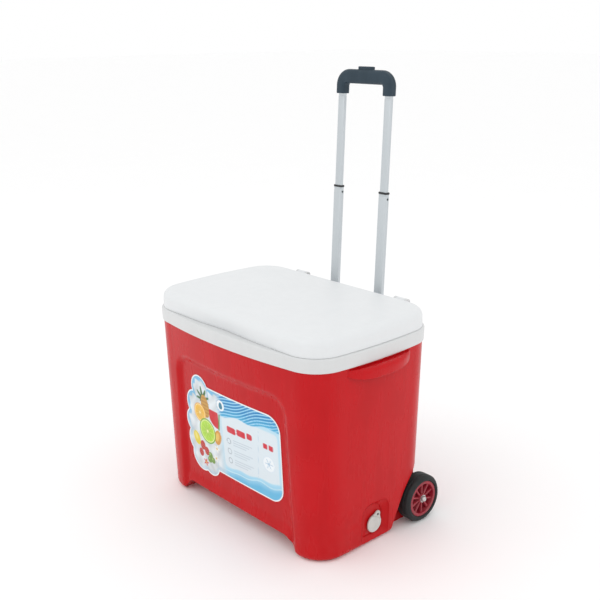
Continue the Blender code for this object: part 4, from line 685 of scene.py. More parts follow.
trim = outside_of_shell()
below = block((-0.4, -0.4, -0.1), (0.4, 0.4, 0.0005))
slot_hollow = block(
    (-POCKET_INNER_X - 0.004, WHEEL_Y - CHANNEL_HALF + PROUD, -0.012),
    (POCKET_INNER_X + 0.004, WHEEL_Y + CHANNEL_HALF - PROUD, WHEEL_RADIUS + CHANNEL_ROOF - PROUD),
)
linings = []
for side in (-1, 1):
    ends = sorted((side * (POCKET_INNER_X - SHELL_WALL), side * 0.30))
    hollow = along_x(pocket_outline(-PROUD), *sorted((side * (POCKET_INNER_X + PROUD), side * 0.33)))
    linings.append(carve(along_x(pocket_outline(SHELL_WALL), *ends), [hollow, slot_hollow, trim, below]))
linings.append(carve(skin(alcove_rings(SHELL_WALL)), [skin(alcove_rings(-PROUD)), trim, drain_hole, below]))
slot_wall = block(
    (-POCKET_INNER_X, WHEEL_Y - CHANNEL_HALF - SHELL_WALL, NOTCH_Z + 0.001),
    (POCKET_INNER_X, WHEEL_Y + CHANNEL_HALF + SHELL_WALL, WHEEL_RADIUS + CHANNEL_ROOF + SHELL_WALL),
)
linings.append(carve(slot_wall, [slot_hollow, trim]))
put("outer_shell_fine", together(carved_wall, *linings), "cooler", RED_SHELL, ("outer_shell",),
    crisp=24)

# %% [markdown]
# ## Finger lips on the sides
# A crescent under the collar on each side gives the fingers something to lift by. Its outer edge
# swells from the wall as (1 - |u|^2.8)^0.7, with u from -1 to 1 along the lip, which
# makes the ends turn in abruptly. Each cross-section is a thin hook: a rounded top and a skirt.

# %% Side lips
LIP_HALF, LIP_REACH, LIP_TOP, LIP_HEIGHT, LIP_WALL = 0.092, 0.0200, 0.4100, 0.0240, 0.0030


def side_face(y, z):
    """x of the shell's side: a flat plus a parabola that grows with height."""
    share = z / COLLAR_Z
    flat = BASE_X + (TOP_X - BASE_X) * share
    half = BASE_Y - BASE_CORNER + (TOP_Y - TOP_CORNER - BASE_Y + BASE_CORNER) * share
    return flat + SIDE_BOW * share * np.maximum(0.0, 1 - (y / half) ** 2)


def lip_skin(side):
    """Sections (out, up) carried along the wall and scaled outward by the crescent's reach."""
    u = np.sin(np.linspace(-0.5 * math.pi, 0.5 * math.pi, 97))
    y = u * LIP_HALF
    reach = np.maximum(0.0, 1 - np.abs(u) ** 2.8) ** 0.7
    low = -LIP_HEIGHT
    section = rounded_profile(
        ((-0.35, 0.0), (1.0, -0.001), (1.0, low), (1 - LIP_WALL / LIP_REACH, low),
            (1 - LIP_WALL / LIP_REACH, -LIP_WALL), (-0.35, -LIP_WALL)),
        (0, 0, 0, 0, 0, 0),
    )
    turn = np.radians(np.linspace(90, 0, 9))
    round_out = 1.0 - 0.38 * (1 - np.cos(turn))
    top_edge = np.column_stack((round_out, -0.0090 * (1 - np.sin(turn))))
    low_turn = np.radians(np.linspace(0, -180, 9))
    low_edge = np.column_stack((1 - 0.075 + 0.075 * np.cos(low_turn),
        low + 0.0015 + 0.0015 * np.sin(low_turn)))
    inner = section[4:]
    section = np.concatenate((section[:1], top_edge, low_edge, inner))
    out = side_face(y, LIP_TOP)[:, None] + (LIP_REACH + 0.003) * reach[:, None] * section[None, :,
        0] - 0.003
    up = LIP_TOP + section[None, :, 1] * (0.45 + 0.55 * reach[:, None])
    rings = np.stack((side * out, np.broadcast_to(y[:, None], out.shape), up), axis=-1)
    return skin(rings)


for side, label in ((-1, "left"), (1, "right")):
    put(f"finger_lip_{label}", lip_skin(side), "cooler", RED_SHELL, crisp=50)

# %% [markdown]
# ## White liner and collar
# The food-safe liner is one white moulding: a tub with rounded lower edges, a flange over the foam
# and the collar that caps the red shell. It is a single closed stack of rings that starts on the tub's
# floor, climbs the inside, crosses the flange, goes down the collar and back up inside it,
# and then down the outside of the tub. The two hinge lugs at the rear are separate rounded plates.
# Its white is a greyer copy of the lid's white. That grey is painted shade, so the collar's face reads
# darker than the lid.

# %% Liner with its collar
TUB_TOP_X, TUB_TOP_Y, TUB_BASE_X, TUB_BASE_Y, TUB_CORNER = 0.243, 0.148, 0.228, 0.136, 0.042
TUB_FLOOR, TUB_WALL, TUB_FILLET = 0.078, 0.0022, 0.018
COLLAR_PROUD, COLLAR_ROUND, FLANGE_LOW, AIR = 0.0030, 0.0045, SEAM_Z - 0.0030, 0.0003
HINGE_X, HINGE_Y, HINGE_Z, BARREL = 0.1590, 0.1885, 0.4680, 0.0075
KNUCKLE_HALF, LUG_WIDTH, LUG_SLACK = 0.0120, 0.0060, 0.0005


def tub_rings(z, grow):
    """The tub's outline at each height, moved outward by grow."""
    share = (np.asarray(z) - TUB_FLOOR) / (SEAM_Z - TUB_FLOOR)
    return outlines(
        TUB_BASE_X + (TUB_TOP_X - TUB_BASE_X) * share + grow,
        TUB_BASE_Y + (TUB_TOP_Y - TUB_BASE_Y) * share + grow, TUB_CORNER + grow, soften=0,
    )


def tub_side(floor, fillet, grow, top, count=26):
    """Rings from a flat floor round a quarter circle and up to top."""
    turn = np.radians(np.linspace(0, 90, 10))
    z = np.concatenate((floor + fillet * (1 - np.cos(turn)), np.linspace(floor + fillet, top, count)[1:]))
    inset = np.concatenate((fillet * (1 - np.sin(turn)), np.zeros(count - 1)))
    return raised(tub_rings(z, grow - inset), z)


def collar_rings():
    """Down the collar's face: a quarter round at its top edge, the face, and a small round at its foot."""
    turn = np.radians(np.linspace(0, 90, 9))
    z = np.concatenate((SEAM_Z - COLLAR_ROUND * (1 - np.cos(turn)),
        (COLLAR_Z + 0.004, COLLAR_Z + 0.0011, COLLAR_Z + 0.0003, COLLAR_Z)))
    out = np.concatenate((COLLAR_PROUD - COLLAR_ROUND * (1 - np.sin(turn)),
        (COLLAR_PROUD, COLLAR_PROUD, COLLAR_PROUD - 0.0003, COLLAR_PROUD - 0.0010)))
    return raised(shell_rings(z, -out), z)


mouth = np.radians(np.linspace(0, 90, 6))
mouth_z = SEAM_Z - 0.003 + 0.003 * np.sin(mouth)
liner_rings = np.concatenate((
    tub_side(TUB_FLOOR, TUB_FILLET, 0.0, SEAM_Z - 0.003),
    raised(tub_rings(mouth_z, 0.003 * (1 - np.cos(mouth))), mouth_z)[1:],
    collar_rings(),
    raised(shell_rings(np.array((COLLAR_Z, FLANGE_LOW)), -AIR), np.array((COLLAR_Z, FLANGE_LOW))),
    tub_side(TUB_FLOOR - TUB_WALL, TUB_FILLET, TUB_WALL, FLANGE_LOW)[::-1],
))
SUMP_LOW_X, SUMP_END_X, SUMP_HALF, SUMP_FLOOR = 0.196, TUB_BASE_X - 0.0025, 0.030, DRAIN_Z - 0.0130


def sump_cup():
    """A small box under the floor, open at the top: outside up, over the rim, inside down."""
    def ring(grow, z):
        x0, x1, y = SUMP_LOW_X - grow, SUMP_END_X + grow, SUMP_HALF + grow
        return ((x0, -y, z), (x1, -y, z), (x1, y, z), (x0, y, z))
    top = TUB_FLOOR - 0.0005
    return skin((ring(TUB_WALL, SUMP_FLOOR - TUB_WALL), ring(TUB_WALL, top), ring(0.0, top),
        ring(0.0, SUMP_FLOOR)))


def lug(side, start, end):
    """A plate from the collar's rear face up and round the hinge pin."""
    face = TOP_Y + COLLAR_PROUD - 0.0012
    turn = np.radians(np.linspace(-20, 190, 25))
    arc = np.column_stack((HINGE_Y + BARREL * np.cos(turn), HINGE_Z + BARREL * np.sin(turn)))
    foot = ((face + 0.004, SEAM_Z + 0.002), (face, SEAM_Z - 0.006), (face, COLLAR_Z + 0.006))
    return along_x(np.concatenate((arc, foot)), *sorted((side * start, side * end)))


sump_hole = block((SUMP_LOW_X, -SUMP_HALF, SUMP_FLOOR), (SUMP_END_X, SUMP_HALF, TUB_FLOOR + 0.012))
spout_hole = turned(((0.19, 0.0093), (0.26, 0.0093)), (0, DRAIN_Y, DRAIN_Z), 48)
liner = carve(skin(liner_rings), [sump_hole])
sump = carve(sump_cup(), [spout_hole])
inner_lug, outer_lug = HINGE_X - KNUCKLE_HALF - LUG_SLACK, HINGE_X + KNUCKLE_HALF + LUG_SLACK
lug_spans = ((inner_lug - LUG_WIDTH, inner_lug), (outer_lug, outer_lug + LUG_WIDTH))
lugs = [lug(side, *span) for side in (-1, 1) for span in lug_spans]
# The liner, collar, sump and lugs all take the greyer white, whose grey is painted shade.
put("liner_with_collar", together(liner, sump, *lugs), "cooler", LINER_WHITE_PAINTED_SHADE, ("inner_liner",),
    crisp=32)

# %% [markdown]
# ## Lid
# The lid is a hollow white moulding filled with foam. Its side rises almost straight, rolls over a
# quarter circle and runs on into a top that swells by a few millimetres, so light slides over it.
# The middle of its front edge is drawn back, 5 mm times the square of a cosine, for the fingers.

# %% Lid top, underside and hinge knuckles
LID_X, LID_Y = TOP_X + COLLAR_PROUD - 0.0035, TOP_Y + COLLAR_PROUD - 0.0035
LID_LOW, LID_TOP, LID_CROWN, LID_ROUND, LID_WALL = SEAM_Z + 0.0006, 0.4815, 0.0030, 0.0170, 0.0025
SCOOP, SCOOP_HALF = 0.0050, 0.110


def lid_outline(inset, scoop):
    """The lid's outline moved in by inset, with its front edge drawn back by the scoop."""
    inset = np.atleast_1d(np.asarray(inset, float))
    rings = outlines(LID_X - inset, LID_Y - inset, np.maximum(TOP_CORNER - inset, LID_ROUND), 0.0020,
        0.0050)
    reach = np.minimum(np.abs(rings[..., 0]) / SCOOP_HALF, 1.0)
    front = rings[..., 1] < -0.5 * LID_Y
    rings[..., 1] += np.where(front, np.atleast_1d(scoop)[:, None] * np.cos(0.5 * math.pi * reach) ** 2,
        0.0)
    return rings


def lid_rings(inset, low):
    """Up the side, round the shoulder by a quarter circle, and over the crown, a parabola in the inset."""
    shoulder = LID_TOP - LID_ROUND
    up = np.linspace(low, shoulder, 8)
    share = (up - LID_LOW) / (shoulder - LID_LOW)
    side = raised(lid_outline(inset + 0.0004 * share, SCOOP * (1 - 0.4 * share)), up)
    turn = np.radians(np.linspace(0, 90, 15))[1:]
    round_z = shoulder + (LID_ROUND - inset) * np.sin(turn)
    over = raised(lid_outline(inset + 0.0004 * np.cos(turn) + (LID_ROUND - inset) * (1 - np.cos(turn)),
        SCOOP * 0.6 * np.cos(turn)), round_z)
    run = np.linspace(0, 1, 24)[1:]
    crown_z = LID_TOP - inset + LID_CROWN * (1 - (1 - run) ** 2)
    top = raised(lid_outline(LID_ROUND + run * 0.135, 0.0 * run), crown_z)
    return np.concatenate((side, over, top))


def knuckle(side):
    """The lid's half of a hinge: an arc of the barrel closed by two points on the lid's rear."""
    turn = np.radians(np.linspace(-70, 170, 25))
    arc = np.column_stack((HINGE_Y + BARREL * np.cos(turn), HINGE_Z + BARREL * np.sin(turn)))
    rear = LID_Y - 0.0012
    return along_x(np.concatenate((arc, ((rear, HINGE_Z + 0.002), (rear, HINGE_Z - 0.0065)))), *sorted(
        (side * (HINGE_X - KNUCKLE_HALF), side * (HINGE_X + KNUCKLE_HALF))
    ))


lid_shape = skin(np.concatenate((lid_rings(0.0, LID_LOW)[::-1], lid_rings(LID_WALL, LID_LOW))))
put("lid_cover", together(lid_shape, knuckle(-1), knuckle(1)), "lid", WHITE, ("lid_top",),
    crisp=32)

PLUG_GAP, PLUG_DEPTH = 0.0030, 0.0140
plug_low, plate_top = LID_LOW - PLUG_DEPTH, LID_LOW + 0.0022
turn = np.radians(np.linspace(0, 90, 7))
plug_z = np.concatenate((plug_low + 0.005 * (1 - np.cos(turn)), (LID_LOW,)))
plug_in = np.concatenate((PLUG_GAP + 0.002 + 0.005 * (1 - np.sin(turn)), (PLUG_GAP,)))
seat = LID_WALL + AIR
under_rings = np.concatenate((
    raised(tub_rings(np.full(8, SEAM_Z), -plug_in), plug_z),
    raised(lid_outline((seat, seat), (SCOOP, SCOOP)), np.array((LID_LOW, plate_top))),
    raised(tub_rings(np.full(2, SEAM_Z), -np.array((PLUG_GAP + 0.0022, PLUG_GAP + 0.0100))),
        np.array((plate_top, plug_low + 0.0022))),
))
put("lid_lining", skin(under_rings), "lid", WHITE, ("lid_underside",), crisp=32)

# %% [markdown]
# ## Wheels
# Each wheel is turned about its axle: a profile of (distance along the axle, radius) swept through
# a full circle. The hub has a bright outer ring, a sunk web and ten short ribs that taper to the
# boss. The tyre's shoulders are rounded and two shallow grooves run round the tread.

# %% Tyres and hubs
RIM_RADIUS, BOSS_RADIUS, AXLE_RADIUS = 0.0402, 0.0105, 0.0052


def tyre_profile(side):
    """(x, radius) round the tyre's section: bead, shoulders as quadratic curves, and a grooved tread."""
    face, inner, bead = WHEEL_FACE_X, WHEEL_FACE_X - WHEEL_WIDTH, RIM_RADIUS + AIR
    middle = 0.5 * (face + inner)
    groove, deep = 0.0016, 0.0010
    tread = []
    for centre in (middle - 0.0065, middle + 0.0065):
        tread += [(centre - groove, WHEEL_RADIUS), (centre - 0.5 * groove, WHEEL_RADIUS - deep),
            (centre + 0.5 * groove, WHEEL_RADIUS - deep), (centre + groove, WHEEL_RADIUS)]
    corners = [(inner + 0.003, bead), (inner + 0.0002, bead + 0.002), (inner, WHEEL_RADIUS - 0.0060),
        (inner + 0.0060, WHEEL_RADIUS - 0.0003)]
    corners += tread
    corners += [(face - 0.0060, WHEEL_RADIUS - 0.0003), (face, WHEEL_RADIUS - 0.0060),
        (face - 0.0002, bead + 0.002), (face - 0.003, bead)]
    radii = [0, 0.0012, 0.0024, 0.0020] + [0] * len(tread) + [0.0020, 0.0024, 0.0012, 0]
    return rounded_profile(corners, radii) * (side, 1)


def hub_profile(side):
    """(x, radius) round the hub's section: boss, sunk web and the bright outer ring."""
    face, inner = WHEEL_FACE_X, WHEEL_FACE_X - WHEEL_WIDTH
    rim = RIM_RADIUS - 0.0062
    corners = (
        (face - 0.004, AXLE_RADIUS), (face - 0.004, BOSS_RADIUS), (face - 0.016, BOSS_RADIUS + 0.0012),
            (face - 0.016, rim - 0.0010),
        (face - 0.0025, rim), (face - 0.0025, RIM_RADIUS), (inner + 0.0025, RIM_RADIUS),
            (inner + 0.0025, rim),
        (face - 0.020, rim), (face - 0.020, BOSS_RADIUS), (inner + 0.001, BOSS_RADIUS),
            (inner + 0.001, AXLE_RADIUS),
    )
    radii = (0, 0.0012, 0.0012, 0.0014, 0.0010, 0.0008, 0.0008, 0.0008, 0.001, 0.001, 0.001, 0)
    return rounded_profile(corners, radii, 4) * (side, 1)


def rib(side, index):
    """A tapered rib: a lofted rectangle from the boss to the ring, turned to its place."""
    rows = []
    for radius, half in ((BOSS_RADIUS - 0.0006, 0.0021), (0.024, 0.0022), (RIM_RADIUS - 0.0056, 0.0030)):
        top = WHEEL_FACE_X - 0.0060
        corners = np.array(((-half, top - 0.0012), (-half * 0.6, top), (half * 0.6, top),
            (half, top - 0.0012), (half, WHEEL_FACE_X - 0.0168), (-half, WHEEL_FACE_X - 0.0168)))
        rows.append(np.column_stack((corners[:, 1] * side, corners[:, 0], np.full(len(corners), radius))))
    angle = 2 * math.pi * index / 10
    rows = np.array(rows)
    y = rows[..., 1] * math.cos(angle) - rows[..., 2] * math.sin(angle)
    z = rows[..., 1] * math.sin(angle) + rows[..., 2] * math.cos(angle)
    return skin(np.stack((rows[..., 0], WHEEL_Y + y, WHEEL_RADIUS + z), axis=-1))


for side, label in ((-1, "left"), (1, "right")):
    middle = (0, WHEEL_Y, WHEEL_RADIUS)
    tyre = turned(tyre_profile(side), middle, 120, closed=True)
    put(f"tyre_ring_{label}", tyre, f"wheel_{label}", TYRE, (f"tyre_{label}",), crisp=40)
    hub = together(turned(hub_profile(side), middle, 120, closed=True),
        *(rib(side, index) for index in range(10)))
    put(f"wheel_centre_{label}", hub, f"wheel_{label}", WHEEL_RED, (f"hub_{label}",), crisp=40)
    face = WHEEL_FACE_X
    cap = rounded_profile(
        ((face + 0.0035, 0.0), (face + 0.0035, 0.0042), (face + 0.0010, 0.0058),
            (face - 0.0022, 0.0066), (face - 0.0022, 0.0053), (face - 0.0005, 0.0053),
                (face - 0.0005, 0.0)),
        (0, 0.0016, 0.0010, 0.0006, 0, 0, 0),
    )[1:-1]
    cap = np.concatenate(((( face + 0.0035, 0.0004),), cap, ((face - 0.0005, 0.0004),))) * (side, 1)
    put(f"axle_button_{label}", turned(cap, middle, 48), "cooler", PLATED_STEEL, (f"axle_cap_{label}",))

# %% [markdown]
# ## Telescoping handle
# Three pairs of rounded rectangular tubes slide in each other and lean back by one in twenty. A
# tube is a closed stack of four rings: outside bottom, outside top, inside top, inside bottom. The
# tops of the middle tubes are crimped, so their outside rings dip twice just below the collar ring.

# %% Handle tubes and rings
HANDLE_Y, LEAN, TUBE_X = 0.1884, math.atan(0.05), 0.0702
FIXED_TUBE, MIDDLE_TUBE, UPPER_TUBE = (0.0280, 0.0160, 0.0012), (0.0240, 0.0120, 0.0012), (0.0200,
    0.0090, 0.0010)
FIXED_LOW, FIXED_TOP, RING_HEIGHT = 0.056, 0.400, 0.0040
MIDDLE_TOP = FIXED_TOP + 0.0039 + RING_HEIGHT / 2 + 0.284
GRIP_LOW = MIDDLE_TOP + RING_HEIGHT / 2 + AIR + 0.206
GRIP_BAR_Z = GRIP_LOW + 0.0380
GRIP_BAR_HALF, GRIP_LEG_HALF, GRIP_DEPTH_HALF, SHOULDER = 0.0155, 0.0125, 0.0122, 0.0210


def leaned(shape):
    """From the handle's upright frame to the leaning one: a turn about x by the lean."""
    points, faces = shape
    x, y, z = points.T
    return np.column_stack((x, HANDLE_Y + y * math.cos(LEAN) + z * math.sin(LEAN),
        z * math.cos(LEAN) - y * math.sin(LEAN))), faces


def small_outline(size_x, size_y, radius, steps=8):
    """A rounded rectangle, anticlockwise."""
    runs = []
    for sign_x, sign_y, start in ((1, 1, 0), (-1, 1, 90), (-1, -1, 180), (1, -1, 270)):
        turn = np.radians(start + np.linspace(0, 90, steps + 1))
        runs.append(np.column_stack((sign_x * (size_x / 2 - radius) + radius * np.cos(turn),
            sign_y * (size_y / 2 - radius) + radius * np.sin(turn))))
    return np.concatenate(runs)


def small_ring(size_x, size_y, radius, x, z):
    """A rounded rectangle as a level ring round (x, 0, z)."""
    outline = small_outline(size_x, size_y, radius)
    return np.column_stack((outline[:, 0] + x, outline[:, 1], np.full(len(outline), z)))


def tube(size, x, low, top, crimps=()):
    """Outside rings up, each crimp a shallow dip, then inside rings down."""
    size_x, size_y, wall = size
    radius = 0.33 * size_y
    stations = [(low, 0.0)]
    for centre in sorted(crimps):
        stations += [(centre + offset, dip) for offset,
            dip in ((-0.0016, 0.0), (-0.0008, 0.00035), (0.0, 0.0005), (0.0008, 0.00035), (0.0016, 0.0))]
    stations += [(top - 0.0004, 0.0), (top, 0.0003)]
    outside = [small_ring(size_x - 2 * dip, size_y - 2 * dip, radius - dip, x, z) for z, dip in stations]
    inside = [small_ring(size_x - 2 * wall, size_y - 2 * wall, radius - wall, x, z) for z in (top, low)]
    return leaned(skin(outside + inside, wrap_rows=True))


def ring(x):
    """The collar on a middle tube: outside rings with eased edges, then the bore."""
    size_x, size_y, _ = MIDDLE_TUBE
    wide, deep = size_x + 0.002, size_y + 0.002
    bore = (UPPER_TUBE[0] + 4 * AIR, UPPER_TUBE[1] + 4 * AIR, 0.33 * UPPER_TUBE[1])
    low, top = MIDDLE_TOP - RING_HEIGHT / 2, MIDDLE_TOP + RING_HEIGHT / 2
    radius = 0.33 * size_y + 0.001
    outside = [small_ring(wide - 2 * dip, deep - 2 * dip, radius - dip, x, z) for z,
        dip in ((low, 0.0004), (low + 0.0005, 0.0), (top - 0.0009, 0.0), (top, 0.0008))]
    return leaned(skin(outside + [small_ring(*bore, x, top), small_ring(*bore, x, low)], wrap_rows=True))


BORE_SPOT = MIDDLE_TOP - 0.0130
for side, label in ((-1, "left"), (1, "right")):
    x = side * TUBE_X
    put(f"outer_tube_{label}", tube(FIXED_TUBE, x, FIXED_LOW, FIXED_TOP), "cooler", TUBE_ALUMINIUM,
        (f"fixed_tube_{label}",))
    lock_hole = leaned(turned(((x + 0.006, 0.0026), (x + 0.02, 0.0026)), (0, 0, BORE_SPOT), 32))
    top = MIDDLE_TOP - RING_HEIGHT / 2 - AIR
    middle_tube = carve(tube(MIDDLE_TUBE, x, FIXED_TOP - 0.056, top, (top - 0.0050,)), [lock_hole])
    put(f"middle_tube_fine_{label}", middle_tube, "middle_stage", TUBE_ALUMINIUM,
        (f"middle_tube_{label}",), crisp=30)
    put(f"tube_collar_{label}", ring(x), "middle_stage", BRACKET_BLACK, (f"middle_ring_{label}",))
    tube_top = GRIP_BAR_Z - GRIP_BAR_HALF + 0.004
    pin_hole = leaned(turned(((x + 0.006, 0.0025), (x + 0.02, 0.0025)), (0, 0, BORE_SPOT), 32))
    upper_tube = carve(tube(UPPER_TUBE, x, MIDDLE_TOP - 0.098, tube_top, (GRIP_LOW - 0.0045,)), [pin_hole])
    put(f"upper_tube_fine_{label}", upper_tube, "upper_stage", TUBE_ALUMINIUM, (f"upper_tube_{label}",),
        crisp=30)

# %% [markdown]
# ## Grip and release button
# The grip is a superellipse, |a|^3.2 + |b|^3.2 = 1, carried up one leg, round a shoulder, along the
# bar and down again. The real one is two halves screwed together, so a hairline groove runs round
# it where they meet: the section is pulled in by half a millimetre close to that line.

# %% Grip
def grip_path():
    """(x, z, half thickness, run x, run z) of the grip's middle line, from leg to leg."""
    shoulder_z = GRIP_BAR_Z - SHOULDER
    turn = np.radians(np.linspace(180, 90, 26))
    arc_x = -TUBE_X + SHOULDER + SHOULDER * np.cos(turn)
    arc_z = shoulder_z + SHOULDER * np.sin(turn)
    half = GRIP_LEG_HALF + (GRIP_BAR_HALF - GRIP_LEG_HALF) * np.linspace(0, 1, 26)
    leg_z = GRIP_LOW + np.array((0.0, 0.0006, 0.0018, 0.006, 0.012))
    leg_half = GRIP_LEG_HALF - np.array((0.0016, 0.0005, 0.0, 0.0, 0.0))
    leg = np.column_stack((np.full(5, -TUBE_X), leg_z, leg_half, np.zeros(5), np.ones(5)))
    arc = np.column_stack((arc_x, arc_z, half, np.sin(turn), -np.cos(turn)))
    left = np.concatenate((leg[leg[:, 1] < shoulder_z - 0.0005], arc))
    bar_x = np.linspace(-TUBE_X + SHOULDER, TUBE_X - SHOULDER, 42)[1:-1]
    bar = np.column_stack((bar_x, np.full(40, GRIP_BAR_Z), np.full(40, GRIP_BAR_HALF), np.ones(40),
        np.zeros(40)))
    right = left[::-1] * (-1, 1, 1, 1, -1)
    return np.concatenate((left, bar, right))


def grip_solid(part):
    """Half a superellipse section in front of the parting plane (part -1) or behind it (part 1)."""
    path = grip_path()
    angle = np.radians(np.concatenate((np.linspace(0, 180, 41),)))
    power = 2 / 3.2
    across = np.sign(np.cos(angle)) * np.abs(np.cos(angle)) ** power
    deep = np.sin(angle) ** power
    chamfer = 1 - 0.022 * np.exp(-(deep / 0.045) ** 2)
    out = np.column_stack((-path[:, 4], path[:, 3]))
    reach = path[:, 2:3] * across * chamfer
    x = path[:, 0:1] + reach * out[:, 0:1]
    z = path[:, 1:2] + reach * out[:, 1:2]
    y = np.broadcast_to(part * (AIR / 2 + (GRIP_DEPTH_HALF - AIR / 2) * deep), x.shape)
    return skin(np.stack((x, y, z), axis=-1))


BAR_LOW = GRIP_BAR_Z - 0.0060
BAR_TOP = BAR_LOW + 0.0070
BUTTON_X, BUTTON_Y, BUTTON_TOP = 0.0205, 0.0065, GRIP_BAR_Z + 0.0220
well_outline = small_outline(2 * BUTTON_X + 0.0012, 2 * BUTTON_Y + 0.0012, 0.0034)
grip_tools = [
    skin([np.column_stack((well_outline, np.full(len(well_outline), z))) for z in (BAR_TOP - 0.0045,
        0.99)]),
    block((-0.0723, -0.0038, BAR_LOW - 0.0048), (0.0723, 0.0038, BAR_TOP + 0.0008)),
]
for side in (-1, 1):
    socket = small_outline(UPPER_TUBE[0] + 2 * AIR, UPPER_TUBE[1] + 2 * AIR,
        0.33 * UPPER_TUBE[1] + AIR) + (side * TUBE_X, 0)
    grip_tools.append(skin([np.column_stack((socket,
        np.full(len(socket), z))) for z in (GRIP_LOW - 0.01, GRIP_BAR_Z - GRIP_BAR_HALF + 0.0043)]))
    grip_tools.append(turned(((GRIP_BAR_Z - GRIP_BAR_HALF, 0.0030), (BAR_LOW + 0.001, 0.0030)),
        (side * TUBE_X, 0, 0), 24, axis=2))
    grip_tools.append(turned(((-0.0105, 0.0023), (0.03, 0.0023)), (side * 0.0400, 0, BAR_TOP + 0.0044),
        24, axis=1))
    grip_tools.append(turned(((0.0080, 0.0044), (0.03, 0.0044)), (side * 0.0400, 0, BAR_TOP + 0.0044),
        32, axis=1))
grip_tools.append(turned(((BAR_LOW - 0.0068, 0.0042), (BAR_LOW - 0.001, 0.0042)), (0, 0, 0), 24, axis=2))
for part, label in ((-1, "front"), (1, "rear")):
    put(f"grip_half_{label}", leaned(carve(grip_solid(part), grip_tools)), "upper_stage", GRIP_DARK,
        (f"grip_{label}",), crisp=34)


def button_rings():
    """Up the button's sides and over a rounded top edge to a slightly crowned top."""
    turn = np.radians(np.linspace(0, 90, 8))
    z = np.concatenate(((BAR_TOP + AIR,), BUTTON_TOP - 0.0018 + 0.0016 * np.sin(turn), (BUTTON_TOP,)))
    inset = np.concatenate(((0.0,), 0.0016 * (1 - np.cos(turn)), (0.0040,)))
    rings = []
    for height, step in zip(z, inset):
        outline = small_outline(2 * (BUTTON_X - step), 2 * (BUTTON_Y - step),
            max(0.0030 - 0.5 * step, 0.0008))
        rings.append(np.column_stack((outline, np.full(len(outline), height))))
    return rings


put("release_button_fine", leaned(skin(button_rings())), "release", GRIP_DARK, ("release_button",))

# %% [markdown]
# ## Drain plug
# The drain's cap is a rubber disc with a raised rim, hinged by a moulded strap that narrows to a
# rounded, pinned end. The cap is turned about the drain's axis and cut off along the fold line.

# %% Drain cap and strap
SEAT_X = ALCOVE_FLOOR_X + 0.0020 + AIR
CAP_THICK, CAP_RADIUS, FOLD, PINNED = 0.0035, 0.0200, 0.0140, 0.0205
STRAP_LEAN = math.radians(28)


def in_strap(outline):
    """From (across, along) the strap to (y, z): a turn by the strap's lean about the drain's middle."""
    outline = np.asarray(outline, float)
    cos, sin = math.cos(STRAP_LEAN), math.sin(STRAP_LEAN)
    return np.column_stack((DRAIN_Y + outline[:, 0] * cos + outline[:, 1] * sin,
        DRAIN_Z - outline[:, 0] * sin + outline[:, 1] * cos))


cap_profile = rounded_profile(
    ((SEAT_X + 0.0028, 0.0004), (SEAT_X + 0.0028, 0.0155), (SEAT_X + CAP_THICK, 0.0166),
        (SEAT_X + CAP_THICK, CAP_RADIUS), (SEAT_X, CAP_RADIUS), (SEAT_X, 0.0065),
            (SEAT_X - 0.0060, 0.0050), (SEAT_X - 0.0060, 0.0004)),
    (0, 0.0008, 0.0007, 0.0012, 0.0005, 0, 0.0008, 0),
)
beyond = along_x(in_strap(((-0.04, FOLD - 0.0002), (0.04, FOLD - 0.0002), (0.04, 0.05), (-0.04, 0.05))),
    SEAT_X - 0.001, SEAT_X + 0.006)
put("drain_cap_disc", carve(turned(cap_profile, (0, DRAIN_Y, DRAIN_Z), 96), [beyond]), "drain_cap",
    DRAIN_WHITE, ("drain_cap",), crisp=34)
sweep = np.radians(np.linspace(0, 180, 25))
tip = np.column_stack((0.0080 * np.cos(sweep), PINNED + 0.0080 * np.sin(sweep)))
strap_outline = np.concatenate((((-0.0138, FOLD + 0.0002), (0.0138, FOLD + 0.0002)), tip))
rows = []
for x, shrink in ((SEAT_X + 0.0003, 0.0), (SEAT_X + 0.0024, 0.0), (SEAT_X + 0.0029, 0.0003),
    (SEAT_X + 0.0030, 0.0008)):
    middle = np.array((0.0, 0.0175))
    outline = middle + (strap_outline - middle) * (1 - shrink / 0.009)
    outline[:, 1] = np.maximum(outline[:, 1], FOLD + 0.0002)
    rows.append(np.column_stack((np.full(len(outline), x), in_strap(outline))))
eye = turned(((0.25, 0.0019), (0.28, 0.0019)), (0, *in_strap(((0.0, PINNED),))[0]), 24)
put("drain_strap", carve(skin(rows), [eye]), "cooler", DRAIN_WHITE, ("drain_tether",),
    crisp=34)

# %% [markdown]
# ## Picture label
# The label is a thin printed film with a cloud-shaped end. Its outline is found along rays from an
# inner point, and the film is a polar grid on the bowed panel: row r and ray a sit at centre + r
# times the reach of ray a. The print is a colour for each grid point, worked out from its place as
# on paper: bands of sky, slices of fruit and plain marks. It carries no words.

# %% Label outline
LABEL_LOW, LABEL_TOP, LABEL_LEFT, LABEL_RIGHT, LABEL_CORNER = 0.0985, 0.2965, -0.094, 0.158, 0.036
LABEL_MIDDLE = np.array((-0.060, 0.190))
LOBES = (
    (-0.106, 0.284, 0.032), (-0.128, 0.240, 0.034), (-0.137, 0.195, 0.032),
    (-0.131, 0.150, 0.034), (-0.118, 0.115, 0.036), (-0.085, 0.108, 0.030),
)


